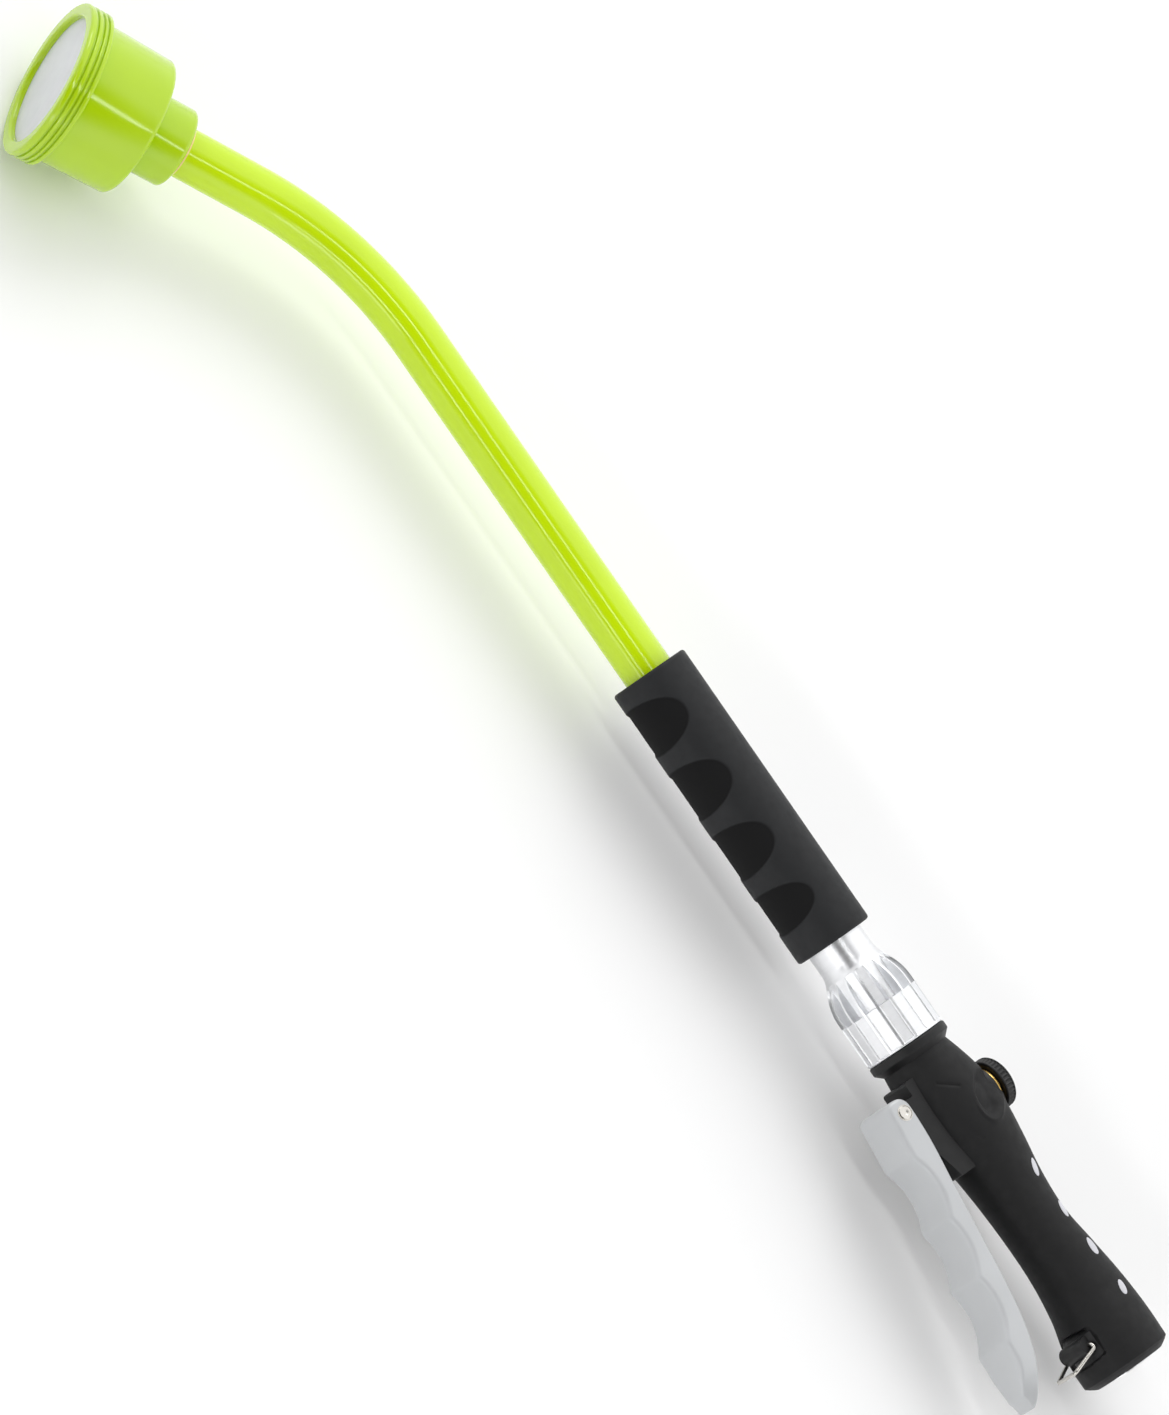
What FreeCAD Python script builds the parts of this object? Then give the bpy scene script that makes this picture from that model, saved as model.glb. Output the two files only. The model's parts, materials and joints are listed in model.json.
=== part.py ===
import FreeCAD, Part
import math
import os
import re
import Sketcher

# A watering wand: a squeeze-lever valve handle, a straight tube with a foam
# grip, a bent end and a round watering rose.
#
# Frame, in millimetres: the wand lies on its side. The origin is the centre of
# the hose inlet, +X runs along the straight tube towards the rose, +Y is the
# side of the lever and the bent head, -Y is the back of the handle with its
# flow knob, and Z crosses the wand's plane of symmetry. "Drop" means a distance
# from the tube's axis towards the lever, and "rise" one towards the back.

SIZES = {
    # Running and seating clearances
    "running_gap": 0.05,            # round parts that slide or turn in a bore
    "side_gap": 1.0,                # lever cheek to valve chin
    "face_gap": 0.3,                # moving faces that only come close
    "overcut": 1.0,                 # how far a cut runs past the face it opens
    "boot_overcut": 4.0,            # the same, where the boot's skin is uneven

    # Handle, along X
    "handle_length": 135.0,         # hose end to the back of the outlet flange
    "rim_lip": 2.5,                 # rubber over the casting's hose end
    "rim_drop": 2.2,                # the rim's slope, along X
    "rim_round": 1.2,
    "shank_radius": 9.4,
    "shank_lead": 3.0,              # full shank radius ahead of the palm section
    "socket_floor": 3.0,
    "main_bore_radius": 6.8,
    "block_radius": 13.0,
    "block_half_length": 12.0,
    "block_slope": 4.0,
    "neck_length": 5.0,
    "neck_radius": 10.9,
    "flange_ramp": 2.5,
    "flange_width": 3.1,
    "flange_radius": 15.95,
    "flange_round": 0.8,
    "spigot_length": 10.9,
    "spigot_radius": 13.15,

    # Rubber boot: three sizes at each section, set in BOOT_SECTIONS below
    "boot_wall": 2.25,              # rubber around the hose socket

    # Hose inlet
    "inlet_bore_radius": 12.3,      # crests of a 3/4 inch hose thread
    "inlet_face_width": 1.3,
    "insert_wall": 1.9,
    "insert_length": 13.2,
    "socket_wall": 1.2,
    "hose_washer_thickness": 2.8,
    "hose_washer_bore": 7.5,
    "screen_radius": 10.0,
    "screen_thickness": 0.8,
    "screen_hole_radius": 0.8,
    "screen_hole_pitch": 2.7,

    # Push valve, across the handle
    "valve_x": 111.2,
    "valve_bore_radius": 7.2,
    "bonnet_boss_wall": 2.1,
    "bonnet_boss_height": 16.6,
    "port_radius": 3.6,
    "port_offset": 5.2,
    "port_lap": 2.0,
    "inlet_bore_stop": 6.0,         # main bore's end to the valve's bore
    "outlet_bore_stop": 5.0,
    "seat_radius": 5.6,
    "seat_bore_radius": 3.4,
    "seat_thickness": 2.0,
    "seat_top": 0.8,
    "lower_chamber_radius": 4.4,
    "gland_radius": 4.9,
    "gland_top_drop": 12.0,
    "gland_flange_radius": 5.6,
    "gland_flange_width": 2.2,
    "gland_seal_radius": 3.5,
    "gland_seal_width": 2.0,
    "gland_seal_cover": 2.0,
    "valve_stem_radius": 1.9,
    "stem_dome_height": 0.7,
    "stem_dome_radius": 2.9,
    "plug_radius": 6.2,
    "plug_washer_radius": 5.2,
    "plug_washer_thickness": 1.3,
    "plug_thickness": 2.1,
    "spring_radius": 5.0,
    "spring_wire_radius": 0.4,
    "spring_turns": 4.5,

    # Flow control on the back of the handle
    "bonnet_flange_lap": 0.8,       # flange past the valve's bore
    "bonnet_flange_width": 1.7,
    "bonnet_seal_thickness": 0.4,
    "bonnet_shank_length": 5.1,
    "bonnet_round": 0.5,
    "bonnet_recess": 1.0,           # boot's opening below the boss's face
    "flow_stem_radius": 2.2,
    "throttle_radius": 3.2,
    "throttle_thickness": 1.2,
    "throttle_bottom": 6.9,
    "knob_radius": 10.0,
    "knob_thickness": 4.6,
    "knob_rib_radius": 0.7,
    "knob_rib_count": 24,
    "knob_rib_pride": 0.3,
    "knob_rib_back": 0.9,
    "knob_rib_front": 1.1,
    "knob_back_round": 0.8,
    "knob_front_round": 1.2,
    "screw_head_radius": 2.8,
    "screw_head_height": 1.6,
    "screw_shank_radius": 1.4,
    "screw_length": 8.0,
    "screw_round": 0.4,
    "screw_slot_width": 0.7,
    "screw_slot_depth": 0.8,

    # Chin of the casting, which carries the lever's pin and the gland nut
    "chin_drop": 21.0,
    "chin_back_drop": 17.5,
    "chin_back": 20.0,              # behind the valve's axis
    "chin_back_round": 1.0,
    "chin_ledge": 2.0,              # flat behind the gland nut
    "chin_front_root": 9.0,
    "chin_back_root": 6.0,
    "chin_nose_drop": 15.8,
    "chin_nose_round": 1.2,
    "pivot_x": 121.4,
    "pivot_drop": 24.7,
    "lug_radius": 3.2,
    "lug_round": 2.6,
    "chin_nose": 8.6,               # ahead of the pivot
    "pin_radius": 1.5,
    "pin_head_radius": 3.0,
    "pin_head_height": 0.5,
    "pin_head_round": 0.3,

    # Lever
    "lever_width": 22.0,
    "lever_wall": 2.0,
    "lever_front_wall": 2.2,
    "lever_front_x": 127.4,
    "lever_front_drop": 30.1,
    "lever_top_drop": 21.3,
    "first_crest_x": 106.5,
    "first_crest_drop": 32.8,
    "second_crest_x": 81.6,
    "second_crest_drop": 34.8,
    "third_crest_x": 58.8,
    "third_crest_drop": 39.2,
    "fourth_crest_x": 34.1,
    "fourth_crest_drop": 45.2,
    "scallop_radius": 25.0,
    "last_scallop_radius": 42.0,
    "cheek_bend_x": 50.0,
    "cheek_bend_drop": 30.4,
    "cheek_tail_radius": 82.0,
    "lever_step_x": 14.6,
    "lever_step_drop": 49.2,
    "lever_step_depth": 1.0,
    "lever_step_slope": 0.4,
    "lever_tip_x": 9.2,
    "lever_tip_drop": 46.4,
    "lever_tip_thickness": 1.8,
    "lever_nose_round": 4.0,
    "taper_x": 30.0,
    "lip_width": 9.6,
    "channel_end": 4.0,             # channel's last face, ahead of the step
    "channel_end_depth": 5.0,
    "channel_taper_end": 2.0,
    "channel_taper_ease": 0.5,
    "channel_rise": 12.0,           # channel's cut above the cheeks
    "channel_lead": 5.0,            # channel's cut ahead of the nose

    # Lock bail
    "bail_x": 16.0,
    "bail_sink": 3.55,              # bail's axis below the boot's skin
    "bail_boss_radius": 3.5,
    "bail_boss_width": 15.6,
    "bail_wire_radius": 0.75,
    "bail_hole_gap": 0.08,
    "bail_foot_inset": 5.9,
    "bail_shoulder": 9.8,
    "bail_crossbar": 6.5,
    "bail_length": 12.2,
    "bail_bend": 1.3,
    "bail_rest_angle": 23.5,
    "bail_foot_gap": 0.2,
    "bail_recess_depth": 1.5,       # recess's floor below the bail's axis
    "bail_recess_end": 2.0,
    "bail_recess_side": 4.0,

    # Coupling nut and tube joint
    "nut_gap": 0.1,
    "nut_length": 44.9,
    "nut_radius": 15.85,
    "nut_round": 0.7,
    "nut_grip_length": 24.4,
    "nut_flare_length": 10.3,
    "nut_flare_round": 18.0,
    "nut_throat_round": 7.0,
    "nut_neck_wall": 0.85,
    "nut_thread_radius": 13.25,
    "nut_shallow_length": 17.1,
    "nut_shallow_depth": 0.7,
    "nut_pocket_wall": 1.95,
    "nut_rib_width": 1.1,
    "nut_flute_count": 17,
    "outlet_washer_thickness": 2.2,
    "ferrule_flange_radius": 12.6,
    "ferrule_flange_width": 2.0,
    "ferrule_wall": 0.5,
    "ferrule_length": 8.0,

    # Tube and foam grip
    "tube_radius": 9.5,
    "tube_wall": 1.2,
    "foam_length": 116.7,
    "foam_thickness": 5.65,
    "foam_round": 1.2,
    "recess_depth": 0.6,
    "recess_width": 20.2,
    "recess_half_height": 14.1,
    "recess_first": 19.0,           # nut end of the foam to the first recess
    "recess_pitch": 26.4,
    "bare_tube_length": 143.6,      # foam to the start of the bend
    "bend_radius": 148.7,
    "bend_angle": 31.6,
    "tube_tail_length": 31.7,       # bend to the head's collar

    # Watering head, along its own axis from the collar's back
    "seal_ring_width": 1.6,
    "seal_ring_thickness": 0.5,
    "seal_ring_round": 0.4,
    "collar_length": 16.4,
    "collar_radius": 15.2,
    "collar_round": 2.0,
    "tube_in_collar": 13.0,
    "collar_thread_length": 7.0,
    "collar_thread_wall": 1.5,
    "collar_stop": 1.5,             # step that the tube's end meets
    "shell_length": 28.8,
    "shell_front_radius": 27.4,
    "shell_taper": 0.8,
    "shell_wall": 2.2,
    "shell_round": 2.0,
    "shell_inner_round": 1.0,
    "shell_boss_wall": 2.2,
    "gasket_thickness": 0.8,
    "gasket_width": 2.3,
    "plate_inset": 0.5,             # plate's edge inside the shell's skin
    "plate_thickness": 1.6,
    "plate_hole_radius": 0.5,
    "plate_margin": 2.1,            # ring's opening to the last circle of holes
    "ring_wall": 2.75,
    "ring_length": 9.6,
    "ring_lip": 2.3,
    "ring_overlap": 2.2,            # ring's lip over the shell
    "ring_round": 2.0,
    "ring_back_round": 0.8,
    "ring_opening_round": 1.0,
    "ring_groove_depth": 0.7,
    "ring_groove_width": 1.0,
    "ring_groove_floor": 0.5,
    "ring_groove_pitch": 2.1,
    "ring_groove_first": 1.6,

    # Oval inlays in the boot
    "inlay_half_length": 3.6,
    "inlay_half_width": 1.9,
    "inlay_depth": 1.2,
    "inlay_tilt": 18.0,
    "inlay_pride": 0.05,
}

# The boot's round sections, hose end first: distance along X, radius, and how
# far the section's centre rises from the tube's axis. None stands for a size
# that follows from another piece, or for no rise.
BOOT_SECTIONS = {
    "rim": (4.0, None, None),
    "heel": (13.0, None, 0.2),
    "palm": (29.5, 15.3, 2.1),
    "finger": (45.0, 13.5, 2.2),
    "waist": (61.0, 12.45, 1.3),
    "thumb": (76.0, 13.1, 1.5),
    "shoulder": (92.0, 14.9, 2.2),
    "crown": (105.0, 16.3, 2.2),
    "brow": (118.0, 16.1, 1.7),
    "throat": (129.0, 14.5, 0.7),
    "collar": (None, 13.3, None),
}

# Oval inlays on each side of the boot: the section that each one is near, how
# far along X it lies from that section, and its turn down from the back.
INLAYS = {
    "first": ("thumb", 2.7, 62.0),
    "second": ("waist", -0.3, 52.0),
    "third": ("finger", -1.4, 59.0),
    "fourth": ("palm", -4.1, 66.0),
}

for section, sizes in BOOT_SECTIONS.items():
    for word, size in zip(("x", "radius", "rise"), sizes):
        if size is not None:
            SIZES[f"boot_{section}_{word}"] = size
for inlay, (section, shift, turn) in INLAYS.items():
    SIZES[f"inlay_{inlay}_shift"] = shift
    SIZES[f"inlay_{inlay}_turn"] = turn

PLATE_RINGS = 7
SCREEN_RINGS = 2
FOAM_RECESSES = 4
RING_GROOVES = 3

# Places worked out from the sizes, as expressions
FLANGE_TOP = "handle_length + flange_ramp"
FLANGE_FRONT = f"{FLANGE_TOP} + flange_width"
SPIGOT_END = f"{FLANGE_FRONT} + spigot_length"
SOCKET_DEPTH = "insert_length + hose_washer_thickness"
INSERT_RADIUS = "(inlet_bore_radius + insert_wall)"
INLET_FACE_RADIUS = "(inlet_bore_radius + inlet_face_width)"
SOCKET_RADIUS = f"({INSERT_RADIUS} + socket_wall)"
HEEL_RADIUS = f"({SOCKET_RADIUS} + boot_wall)"
BAIL_DROP = f"({HEEL_RADIUS} - bail_sink)"
BONNET_BOSS_RADIUS = "(valve_bore_radius + bonnet_boss_wall)"
BONNET_FLANGE_RADIUS = "(valve_bore_radius + bonnet_flange_lap)"
SLEEVE_RADIUS = "(tube_radius + ferrule_wall)"
NUT_THROAT = f"({SLEEVE_RADIUS} + running_gap)"
FOAM_RADIUS = "(tube_radius + foam_thickness)"
COLLAR_THREAD_RADIUS = "(tube_radius + collar_thread_wall)"
RING_OPENING = "(shell_front_radius - ring_overlap)"
RING_RADIUS = "(shell_front_radius + ring_wall)"
PLATE_RADIUS = "(shell_front_radius - plate_inset)"
NUT_START = f"{FLANGE_FRONT} + nut_gap"
NUT_END = f"{NUT_START} + nut_length"
WASHER_END = f"{SPIGOT_END} + outlet_washer_thickness"
FERRULE_FACE = f"{WASHER_END} + ferrule_flange_width"
FOAM_END = f"{NUT_END} + foam_length"
BEND_START = f"{FOAM_END} + bare_tube_length"
HEAD_X = f"{BEND_START} + bend_radius * sin(bend_angle) + tube_tail_length * cos(bend_angle)"
HEAD_DROP = "bend_radius * (1 - cos(bend_angle)) + tube_tail_length * sin(bend_angle)"
RING_START = "collar_length + shell_length"
RING_END = f"{RING_START} + ring_length"
PLATE_BACK = f"{RING_END} - ring_lip - plate_thickness"
GASKET_BACK = f"{PLATE_BACK} - gasket_thickness"
SEAT_BOTTOM = "seat_top - seat_thickness"
PLUG_BOTTOM = "seat_top + running_gap + plug_washer_thickness"
PLUG_TOP = f"{PLUG_BOTTOM} + plug_thickness"
BONNET_BOTTOM = "bonnet_boss_height - bonnet_shank_length"
BONNET_SEAT = "bonnet_boss_height + bonnet_seal_thickness"
BONNET_TOP = f"{BONNET_SEAT} + bonnet_flange_width"
KNOB_BOTTOM = f"{BONNET_TOP} + face_gap"
KNOB_TOP = f"{KNOB_BOTTOM} + knob_thickness"
FLOW_STEM_BOTTOM = "throttle_bottom + throttle_thickness + running_gap"
FLOW_STEM_TOP = f"{KNOB_TOP} - screw_head_height"
CHIN_WIDTH = "(lever_width - 2 * (lever_wall + side_gap))"
LEVER_SLOPE = "(first_crest_drop - lever_front_drop) / (lever_front_x - first_crest_x)"
PUSH_FACE_DROP = (f"lever_front_drop + {LEVER_SLOPE} * (lever_front_x - valve_x)"
                  " - lever_front_wall")

doc = FreeCAD.newDocument("watering_wand")
sheet = doc.addObject("Spreadsheet::Sheet", "Sizes")
for row, (alias, value) in enumerate(SIZES.items(), start=1):
    sheet.set(f"A{row}", str(value))
    sheet.setAlias(f"A{row}", alias)
doc.recompute()

parts = {}


# ---------------------------------------------------------------- expressions

def bound(text):
    """The expression with each size's name pointed at its spreadsheet cell."""
    return re.sub(r"[a-z][a-z0-9_]+", lambda word: f"Sizes.{word[0]}" if word[0] in SIZES
                  else word[0], str(text))


def number(text):
    """The value, in plain millimetres or degrees, of an expression in the sizes."""
    value = sheet.evalExpression(bound(text))
    return float(getattr(value, "Value", value))


def tie(thing, prop, text):
    thing.setExpression(prop, bound(text))


def place(thing, x="0", y="0", z="0", axis=(0, 0, 1), angle="0"):
    """Puts a sub-part at a point and turned about an axis, both from the sizes."""
    turn = FreeCAD.Rotation(FreeCAD.Vector(*axis), number(angle))
    spot = FreeCAD.Vector(number(x), number(y), number(z))
    thing.Placement = FreeCAD.Placement(spot, turn)
    for letter, text in (("x", x), ("y", y), ("z", z)):
        if text != "0":
            tie(thing, f"Placement.Base.{letter}", text)
    if angle != "0":
        tie(thing, "Placement.Rotation.Angle", angle)


def keep(name, thing):
    """Names a finished sub-part and lists it for writing."""
    thing.Label = name
    parts[name] = thing
    return thing


# -------------------------------------------------------------------- sketches

def new_body(name):
    body = doc.addObject("PartDesign::Body", name)
    return body


def new_sketch(body, name, plane, lift="0"):
    """A sketch on one of the body's origin planes, lifted along its normal."""
    sketch = body.newObject("Sketcher::SketchObject", name)
    support = [item for item in body.Origin.OriginFeatures if item.Role == f"{plane}_Plane"]
    sketch.AttachmentSupport = (support[0], [""])
    sketch.MapMode = "FlatFace"
    sketch.AttachmentOffset = FreeCAD.Placement(FreeCAD.Vector(0, 0, number(lift)),
                                                FreeCAD.Rotation())
    if lift != "0":
        tie(sketch, "AttachmentOffset.Base.z", lift)
    return sketch


def pin_point(sketch, item, end, across, up):
    """Holds a sketch point at two coordinates given as expressions."""
    for kind, axis, text in (("DistanceX", -2, across), ("DistanceY", -1, up)):
        if text == "0":
            sketch.addConstraint(Sketcher.Constraint("PointOnObject", item, end, axis))
        else:
            held = sketch.addConstraint(Sketcher.Constraint(kind, item, end, number(text)))
            tie(sketch, f"Constraints[{held}]", text)


def hold_radius(sketch, item, text):
    held = sketch.addConstraint(Sketcher.Constraint("Radius", item, number(text)))
    tie(sketch, f"Constraints[{held}]", text)


def arc_ends(sketch, item, first):
    """The two ends of an arc, the one at the point called first in front."""
    start = sketch.Geometry[item].StartPoint
    return (1, 2) if start.distanceToPoint(first) < 1e-6 else (2, 1)


def sketch_arc(first, middle, second):
    """An arc through three points, turned anticlockwise as a sketch needs."""
    if (middle - first).cross(second - middle).z < 0:
        first, second = second, first
    return Part.Arc(first, middle, second)


def bowed(first, second, radius):
    """An arc between two points; a positive radius bows to the left of the way."""
    chord = second - first
    left = FreeCAD.Vector(-chord.y, chord.x, 0).normalize()
    rise = abs(radius) - math.sqrt(radius ** 2 - (chord.Length / 2) ** 2)
    middle = (first + second) * 0.5 + left * math.copysign(rise, radius)
    return sketch_arc(first, middle, second)


def outline(body, name, plane, corners, lift="0", bows=None):
    """A closed outline, every corner and curve of it bound to the sizes.

    A corner is (across, up) or (across, up, round). bows gives the edges that
    are arcs: the number of the corner an edge starts at, and (side, radius).
    """
    bows = bows or {}
    sketch = new_sketch(body, name, plane, lift)
    count = len(corners)
    points = [FreeCAD.Vector(number(corner[0]), number(corner[1]), 0) for corner in corners]
    arrive = list(points)
    leave = list(points)
    rounds = {}
    for i, corner in enumerate(corners):
        if len(corner) == 3:
            back = (points[i - 1] - points[i]).normalize()
            ahead = (points[(i + 1) % count] - points[i]).normalize()
            half = back.getAngle(ahead) / 2
            radius = number(corner[2])
            arrive[i] = points[i] + back * (radius / math.tan(half))
            leave[i] = points[i] + ahead * (radius / math.tan(half))
            inward = (back + ahead).normalize()
            rounds[i] = points[i] + inward * (radius / math.sin(half) - radius)
    edges = []
    for i in range(count):
        first, second = leave[i], arrive[(i + 1) % count]
        if i in bows:
            side, radius = bows[i]
            edge = sketch.addGeometry(bowed(first, second, side * number(radius)))
            edges.append((edge, *arc_ends(sketch, edge, first)))
            hold_radius(sketch, edge, radius)
        else:
            edge = sketch.addGeometry(Part.LineSegment(first, second))
            edges.append((edge, 1, 2))
    for i, corner in enumerate(corners):
        before, _, before_end = edges[i - 1]
        after, after_start, _ = edges[i]
        if i in rounds:
            arc = sketch.addGeometry(sketch_arc(arrive[i], rounds[i], leave[i]))
            first, second = arc_ends(sketch, arc, arrive[i])
            sketch.addConstraint(Sketcher.Constraint("Tangent", before, before_end, arc, first))
            sketch.addConstraint(Sketcher.Constraint("Tangent", arc, second, after, after_start))
            hold_radius(sketch, arc, corner[2])
            tip = sketch.addGeometry(Part.Point(points[i]), True)
            sketch.addConstraint(Sketcher.Constraint("PointOnObject", tip, 1, before))
            sketch.addConstraint(Sketcher.Constraint("PointOnObject", tip, 1, after))
            pin_point(sketch, tip, 1, corner[0], corner[1])
        else:
            sketch.addConstraint(Sketcher.Constraint("Coincident", before, before_end,
                                                     after, after_start))
            pin_point(sketch, after, after_start, corner[0], corner[1])
    return sketch


def circles(body, name, plane, rounds, lift="0"):
    """Circles given as (across, up, radius)."""
    sketch = new_sketch(body, name, plane, lift)
    for across, up, radius in rounds:
        centre = FreeCAD.Vector(number(across), number(up), 0)
        circle = Part.Circle(centre, FreeCAD.Vector(0, 0, 1), number(radius))
        item = sketch.addGeometry(circle)
        pin_point(sketch, item, 3, across, up)
        hold_radius(sketch, item, radius)
    return sketch


# -------------------------------------------------------------------- features

def volume(body):
    doc.recompute()
    return body.Shape.Volume


def revolve(body, sketch, axis="H_Axis", cut=False):
    kind = "Groove" if cut else "Revolution"
    feature = body.newObject(f"PartDesign::{kind}", f"{sketch.Name}_turned")
    feature.Profile = sketch
    feature.ReferenceAxis = (sketch, [axis])
    feature.Angle = 360
    return feature


def pad(body, sketch, length, both_ways=False, cut=False, flip=False):
    """Pushes a sketch out along its plane's normal, or cuts that prism away."""
    kind = "Pocket" if cut else "Pad"
    before = volume(body) if cut else 0.0
    feature = body.newObject(f"PartDesign::{kind}", f"{sketch.Name}_{kind.lower()}")
    feature.Profile = sketch
    tie(feature, "Length", length)
    feature.SideType = "Symmetric" if both_ways else "One side"
    feature.Reversed = flip
    if cut and volume(body) > before - 1e-3:
        raise ValueError(f"{feature.Name} cuts nothing")
    return feature


def around(body, feature, count):
    """Repeats a feature around the body's X axis."""
    pattern = body.newObject("PartDesign::PolarPattern", f"{feature.Name}_around")
    pattern.Originals = [feature]
    spin = [item for item in body.Origin.OriginFeatures if item.Role == "X_Axis"]
    pattern.Axis = (spin[0], [""])
    pattern.Angle = 360
    tie(pattern, "Occurrences", count)
    body.Tip = pattern
    doc.recompute()
    return pattern


def turned(name, corners, axis="H_Axis", bows=None):
    """A body of revolution about its X axis, or about Z with axis V_Axis."""
    body = new_body(name)
    revolve(body, outline(body, f"{name}_profile", "XZ", corners, bows=bows), axis)
    return body


def ring(name, start, end, inner, outer, axis="H_Axis"):
    """A plain turned ring between two places on its axis."""
    corners = [(start, inner), (end, inner), (end, outer), (start, outer)]
    if axis == "V_Axis":
        corners = [(across, up) for up, across in corners]
    return turned(name, corners, axis)


DIRECTIONS = {
    "X": ((0, 1, 0), 90),
    "Y": ((1, 0, 0), -90),
    "Z": ((0, 0, 1), 0),
}


def rod(name, direction, x, y, z, radius, length):
    """A plain cylinder whose base circle is centred on a point."""
    cylinder = doc.addObject("Part::Cylinder", name)
    tie(cylinder, "Radius", radius)
    tie(cylinder, "Height", length)
    axis, angle = DIRECTIONS[direction]
    spot = FreeCAD.Vector(number(x), number(y), number(z))
    cylinder.Placement = FreeCAD.Placement(spot, FreeCAD.Rotation(FreeCAD.Vector(*axis), angle))
    for letter, text in (("x", x), ("y", y), ("z", z)):
        if text != "0":
            tie(cylinder, f"Placement.Base.{letter}", text)
    return cylinder


def riser(name, low, high, radius):
    """A cylinder on the valve's axis between two rises from the tube's axis."""
    return rod(name, "Y", "valve_x", f"-({high})", "0", radius, f"{high} - ({low})")


def join(name, things):
    fused = doc.addObject("Part::MultiFuse", name)
    fused.Shapes = things
    return fused


def cut(name, base, tool):
    result = doc.addObject("Part::Cut", name)
    result.Base = base
    result.Tool = tool
    return result


def overlap(name, base, tool):
    result = doc.addObject("Part::Common", name)
    result.Base = base
    result.Tool = tool
    return result


# ---------------------------------------------------------------------- handle

def handle_core():
    """The outside of the casting, as one solid with no passages."""
    body = turned("casting_outside", [
        ("rim_lip", "0"),
        ("rim_lip", SOCKET_RADIUS),
        (f"{SOCKET_DEPTH} + screen_thickness + socket_floor", SOCKET_RADIUS),
        ("boot_palm_x - shank_lead", "shank_radius"),
        ("valve_x - block_half_length - block_slope", "shank_radius"),
        ("valve_x - block_half_length", "block_radius"),
        ("valve_x + block_half_length", "block_radius"),
        ("handle_length - neck_length", "neck_radius"),
        ("handle_length", "neck_radius"),
        ("handle_length", "boot_collar_radius"),
        (FLANGE_TOP, "flange_radius", "flange_round"),
        (FLANGE_FRONT, "flange_radius", "flange_round"),
        (FLANGE_FRONT, "spigot_radius"),
        (SPIGOT_END, "spigot_radius"),
        (SPIGOT_END, "0"),
    ])
    chin = outline(body, "chin_side", "XY", [
        ("pivot_x + chin_nose", "chin_front_root"),
        ("pivot_x + chin_nose", "chin_nose_drop", "chin_nose_round"),
        ("pivot_x + lug_radius", "chin_nose_drop"),
        ("pivot_x + lug_radius", "pivot_drop + lug_radius", "lug_round"),
        ("pivot_x - lug_radius", "pivot_drop + lug_radius", "lug_round"),
        ("pivot_x - lug_radius", "chin_drop"),
        ("valve_x - gland_flange_radius - chin_ledge", "chin_drop"),
        ("valve_x - chin_back", "chin_back_drop", "chin_back_round"),
        ("valve_x - chin_back", "chin_back_root"),
    ])
    pad(body, chin, CHIN_WIDTH, both_ways=True)
    boss = circles(body, "bonnet_boss", "XZ", [("valve_x", "0", BONNET_BOSS_RADIUS)])
    pad(body, boss, "bonnet_boss_height")
    bail_boss = circles(body, "bail_boss", "XY", [("bail_x", BAIL_DROP, "bail_boss_radius")])
    pad(body, bail_boss, "bail_boss_width", both_ways=True)
    return body


def water_way():
    """Everything that is bored out of the casting."""
    main_bore_start = f"{SOCKET_DEPTH} + screen_thickness"
    bail_hole = "bail_wire_radius + bail_hole_gap"
    bail_hole_start = "(bail_foot_inset - bail_foot_gap)"
    inlet_bore_end = "(valve_x - valve_bore_radius - inlet_bore_stop)"
    outlet_bore_start = "(valve_x + valve_bore_radius + outlet_bore_stop)"
    return join("passages", [
        rod("socket_bore", "X", "0", "0", "0", INSERT_RADIUS, SOCKET_DEPTH),
        rod("screen_seat", "X", SOCKET_DEPTH, "0", "0", "screen_radius", "screen_thickness"),
        rod("main_bore", "X", main_bore_start, "0", "0", "main_bore_radius",
            f"{inlet_bore_end} - ({main_bore_start})"),
        rod("inlet_port", "X", f"{inlet_bore_end} - port_lap", "-port_offset", "0",
            "port_radius", f"valve_x - {inlet_bore_end} + port_lap"),
        rod("outlet_port", "X", "valve_x", "port_offset", "0", "port_radius",
            f"{outlet_bore_start} + port_lap - valve_x"),
        rod("outlet_bore", "X", outlet_bore_start, "0", "0", "main_bore_radius",
            f"{SPIGOT_END} + overcut - {outlet_bore_start}"),
        riser("valve_bore", "seat_top", "bonnet_boss_height + overcut", "valve_bore_radius"),
        riser("seat_pocket", SEAT_BOTTOM, "seat_top", "seat_radius"),
        riser("lower_chamber", "-gland_top_drop", SEAT_BOTTOM, "lower_chamber_radius"),
        riser("gland_bore", "-(chin_drop + overcut)", "-gland_top_drop", "gland_radius"),
        rod("pivot_bore", "Z", "pivot_x", "pivot_drop", f"-{CHIN_WIDTH}",
            "pin_radius + running_gap", f"2 * {CHIN_WIDTH}"),
        rod("near_bail_hole", "Z", "bail_x", BAIL_DROP, bail_hole_start, bail_hole,
            "bail_boss_width"),
        rod("far_bail_hole", "Z", "bail_x", BAIL_DROP,
            f"-{bail_hole_start} - bail_boss_width", bail_hole, "bail_boss_width"),
    ])


def section_radius(section):
    """The boot's radius at a section: the hose end's follows from the socket."""
    return HEEL_RADIUS if section in ("rim", "heel") else f"boot_{section}_radius"


def section_x(section):
    """A section's place along X: the collar's is at the outlet flange."""
    return "handle_length" if section == "collar" else f"boot_{section}_x"


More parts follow.
